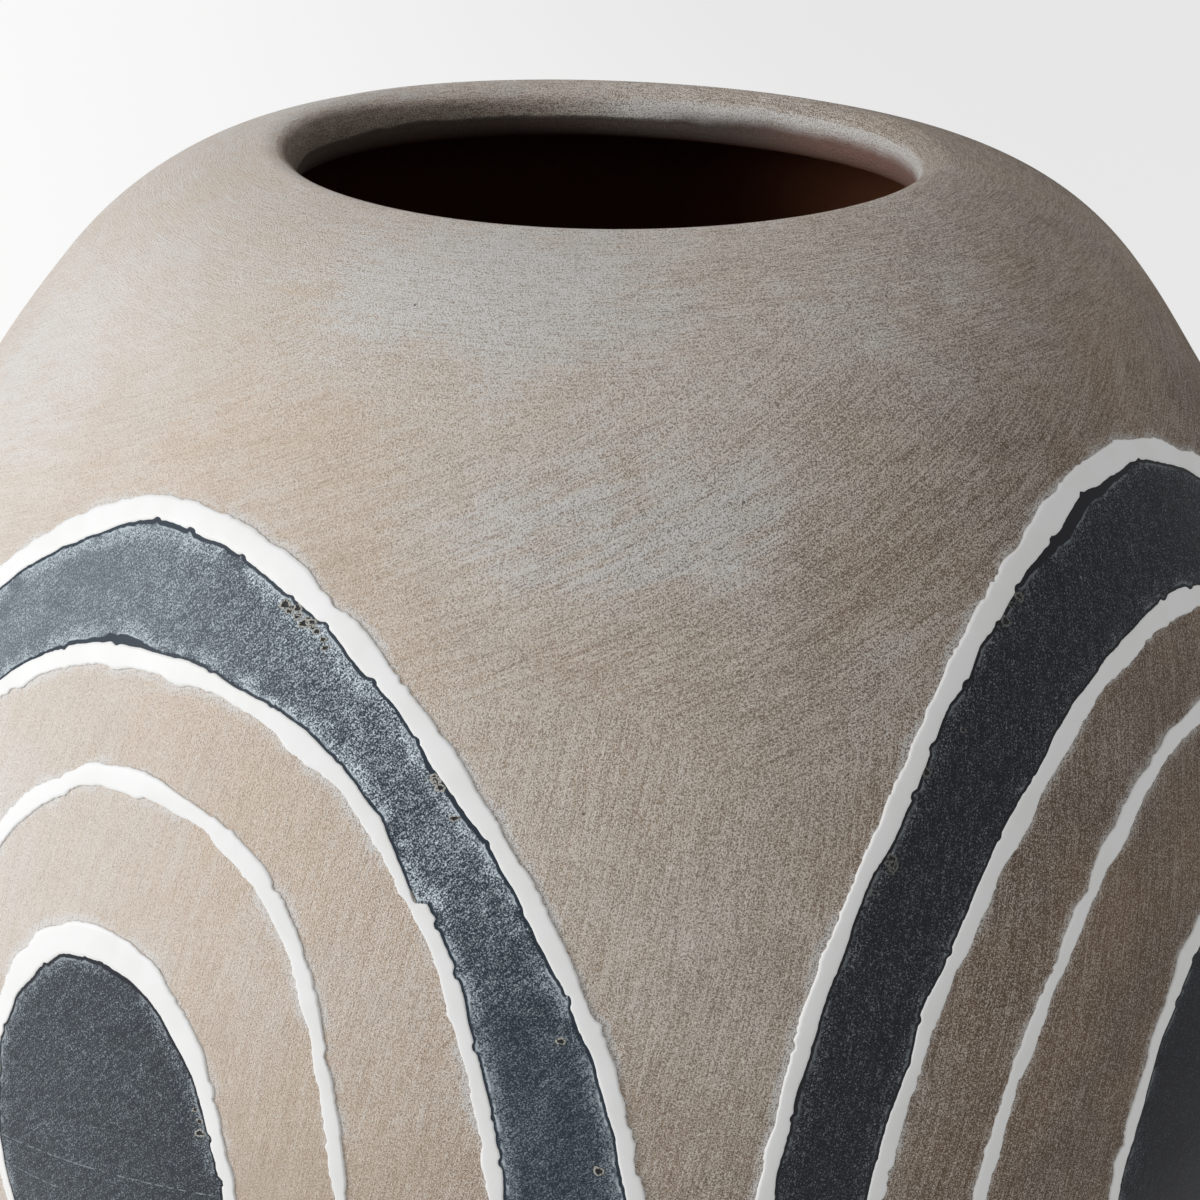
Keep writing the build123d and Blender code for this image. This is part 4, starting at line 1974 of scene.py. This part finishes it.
@dataclass(frozen=True)
class Studio:
    """Pale floor, soft light from the left and the camera."""

    form: JarForm
    camera_turn: float = math.radians(-7.65)
    camera_distance: float = 707.4 * MM
    camera_rise: float = 146.7 * MM
    camera_pitch: float = math.radians(20.19)
    camera_lens: float = 91.35
    camera_shift: float = 0.005
    key_turn: float = math.radians(-74.0)
    key_height: float = math.radians(21.0)
    key_distance: float = 1.9
    key_aim: float = 0.6
    key_size: float = 0.75
    key_level: float = 0.565
    sky_level: float = 0.530
    backdrop_left: float = 1.12
    backdrop_right: float = 0.915
    backdrop_start: float = -0.35
    backdrop_end: float = 0.6
    backdrop_share: float = 0.75
    backdrop_level: float = 0.9
    floor_colour: Colour = (0.78, 0.78, 0.77)
    floor_width: float = 14.0

    def build(self) -> None:
        """Sets up the floor, the light and the camera."""
        bpy.context.scene.view_settings.view_transform = "Standard"
        self.build_floor()
        self.build_light()
        self.build_camera()

    def build_camera(self) -> None:
        """Puts the camera where the photograph was taken from."""
        camera = add_object("camera", bpy.data.cameras.new("camera"))
        camera.data.lens = self.camera_lens
        camera.data.shift_x = self.camera_shift
        turn, distance = self.camera_turn, self.camera_distance
        camera.location = (
            distance * math.sin(turn),
            -distance * math.cos(turn),
            self.form.crest_height + self.camera_rise,
        )
        camera.rotation_euler = (math.pi / 2 - self.camera_pitch, 0.0, turn)
        bpy.context.scene.camera = camera

    def build_light(self) -> None:
        """Hangs one soft lamp at the left and lights the room evenly."""
        lamp = add_object("soft_lamp", bpy.data.lights.new("soft_lamp", "AREA"))
        lamp.data.size = self.key_size
        lamp.data.energy = self.key_level * (math.pi * self.key_distance) ** 2
        flat = self.key_distance * math.cos(self.key_height)
        lamp.location = (
            flat * math.sin(self.key_turn),
            -flat * math.cos(self.key_turn),
            self.key_aim * self.form.crest_height + self.key_distance * math.sin(self.key_height),
        )
        lamp.rotation_euler = (math.pi / 2 - self.key_height, 0.0, self.key_turn)
        world = bpy.data.worlds.new("room")
        world.use_nodes = True
        sheet = NodeSheet(world.node_tree)
        sheet.tree.nodes.clear()
        rays = sheet.node("ShaderNodeLightPath")
        seen = Signal(sheet, rays.outputs["Is Camera Ray"])
        level = self.sky_level + seen * (self.backdrop_level - self.sky_level)
        room = {"Color": (1.0, 1.0, 1.0, 1.0), "Strength": level}
        light = sheet.signal("ShaderNodeBackground", sockets=room)
        sheet.node("ShaderNodeOutputWorld", sockets={"Surface": light})
        bpy.context.scene.world = world

    def build_floor(self) -> None:
        """Lays the pale floor, which looks light to the camera and still takes the shadow."""
        half = self.floor_width / 2
        mesh = bpy.data.meshes.new("floor")
        corners = [(-half, -half, 0.0), (half, -half, 0.0), (half, half, 0.0), (-half, half, 0.0)]
        mesh.from_pydata(corners, [], [(0, 1, 2, 3)])
        floor = add_object("floor", mesh)
        sheet = FinishSheet("pale_floor")
        rays = sheet.node("ShaderNodeLightPath")
        kinds = ("Is Camera Ray", "Is Glossy Ray")
        seen, mirrored = (Signal(sheet, rays.outputs[kind]) for kind in kinds)
        share = seen.at_least(mirrored) * self.backdrop_share
        paint = sheet.signal("ShaderNodeBsdfDiffuse", sockets={"Color": (*self.floor_colour, 1.0)})
        across = sheet.dot(sheet.place(), RIGHT).rise(self.backdrop_start, self.backdrop_end)
        shade = sheet.blend(across, (self.backdrop_left,) * 3, (self.backdrop_right,) * 3)
        glow = sheet.signal("ShaderNodeEmission", sockets={"Color": shade, "Strength": 1.0})
        mix = sheet.signal("ShaderNodeMixShader", sockets={0: share, 1: paint, 2: glow})
        sheet.node("ShaderNodeOutputMaterial", sockets={"Surface": mix})
        mesh.materials.append(sheet.material)


def main() -> None:
    """Builds the jar, its decoration and the studio."""
    logging.basicConfig(level=logging.INFO, format="%(name)s %(message)s")
    form = JarForm.from_frame()
    hand = PottersHand(form)
    arches = [ArchDecoration(form, hand, arch) for arch in Arch]
    beads, blisters = trailed_line_tree(), set_blisters_tree()
    white, black = WhiteLineFinish().material(), BlackPaintFinish().material()
    pale = BlisterFinish().material()
    blister = unit_blister(thrown_ring_tree(), pale)
    for arch in arches:
        for line in Line:
            arch.build_line(beads, line, white)
        arch.build_band(black)
        arch.build_field(black)
        arch.build_blisters(blisters, blister, pale)
    bpy.data.objects.remove(blister)
    lines = nearest_points(np.concatenate([arch.clay_edges() for arch in arches]))
    ClayBody(form, hand, lines).build()
    Studio(form).build()


if __name__ == "__main__":
    main()
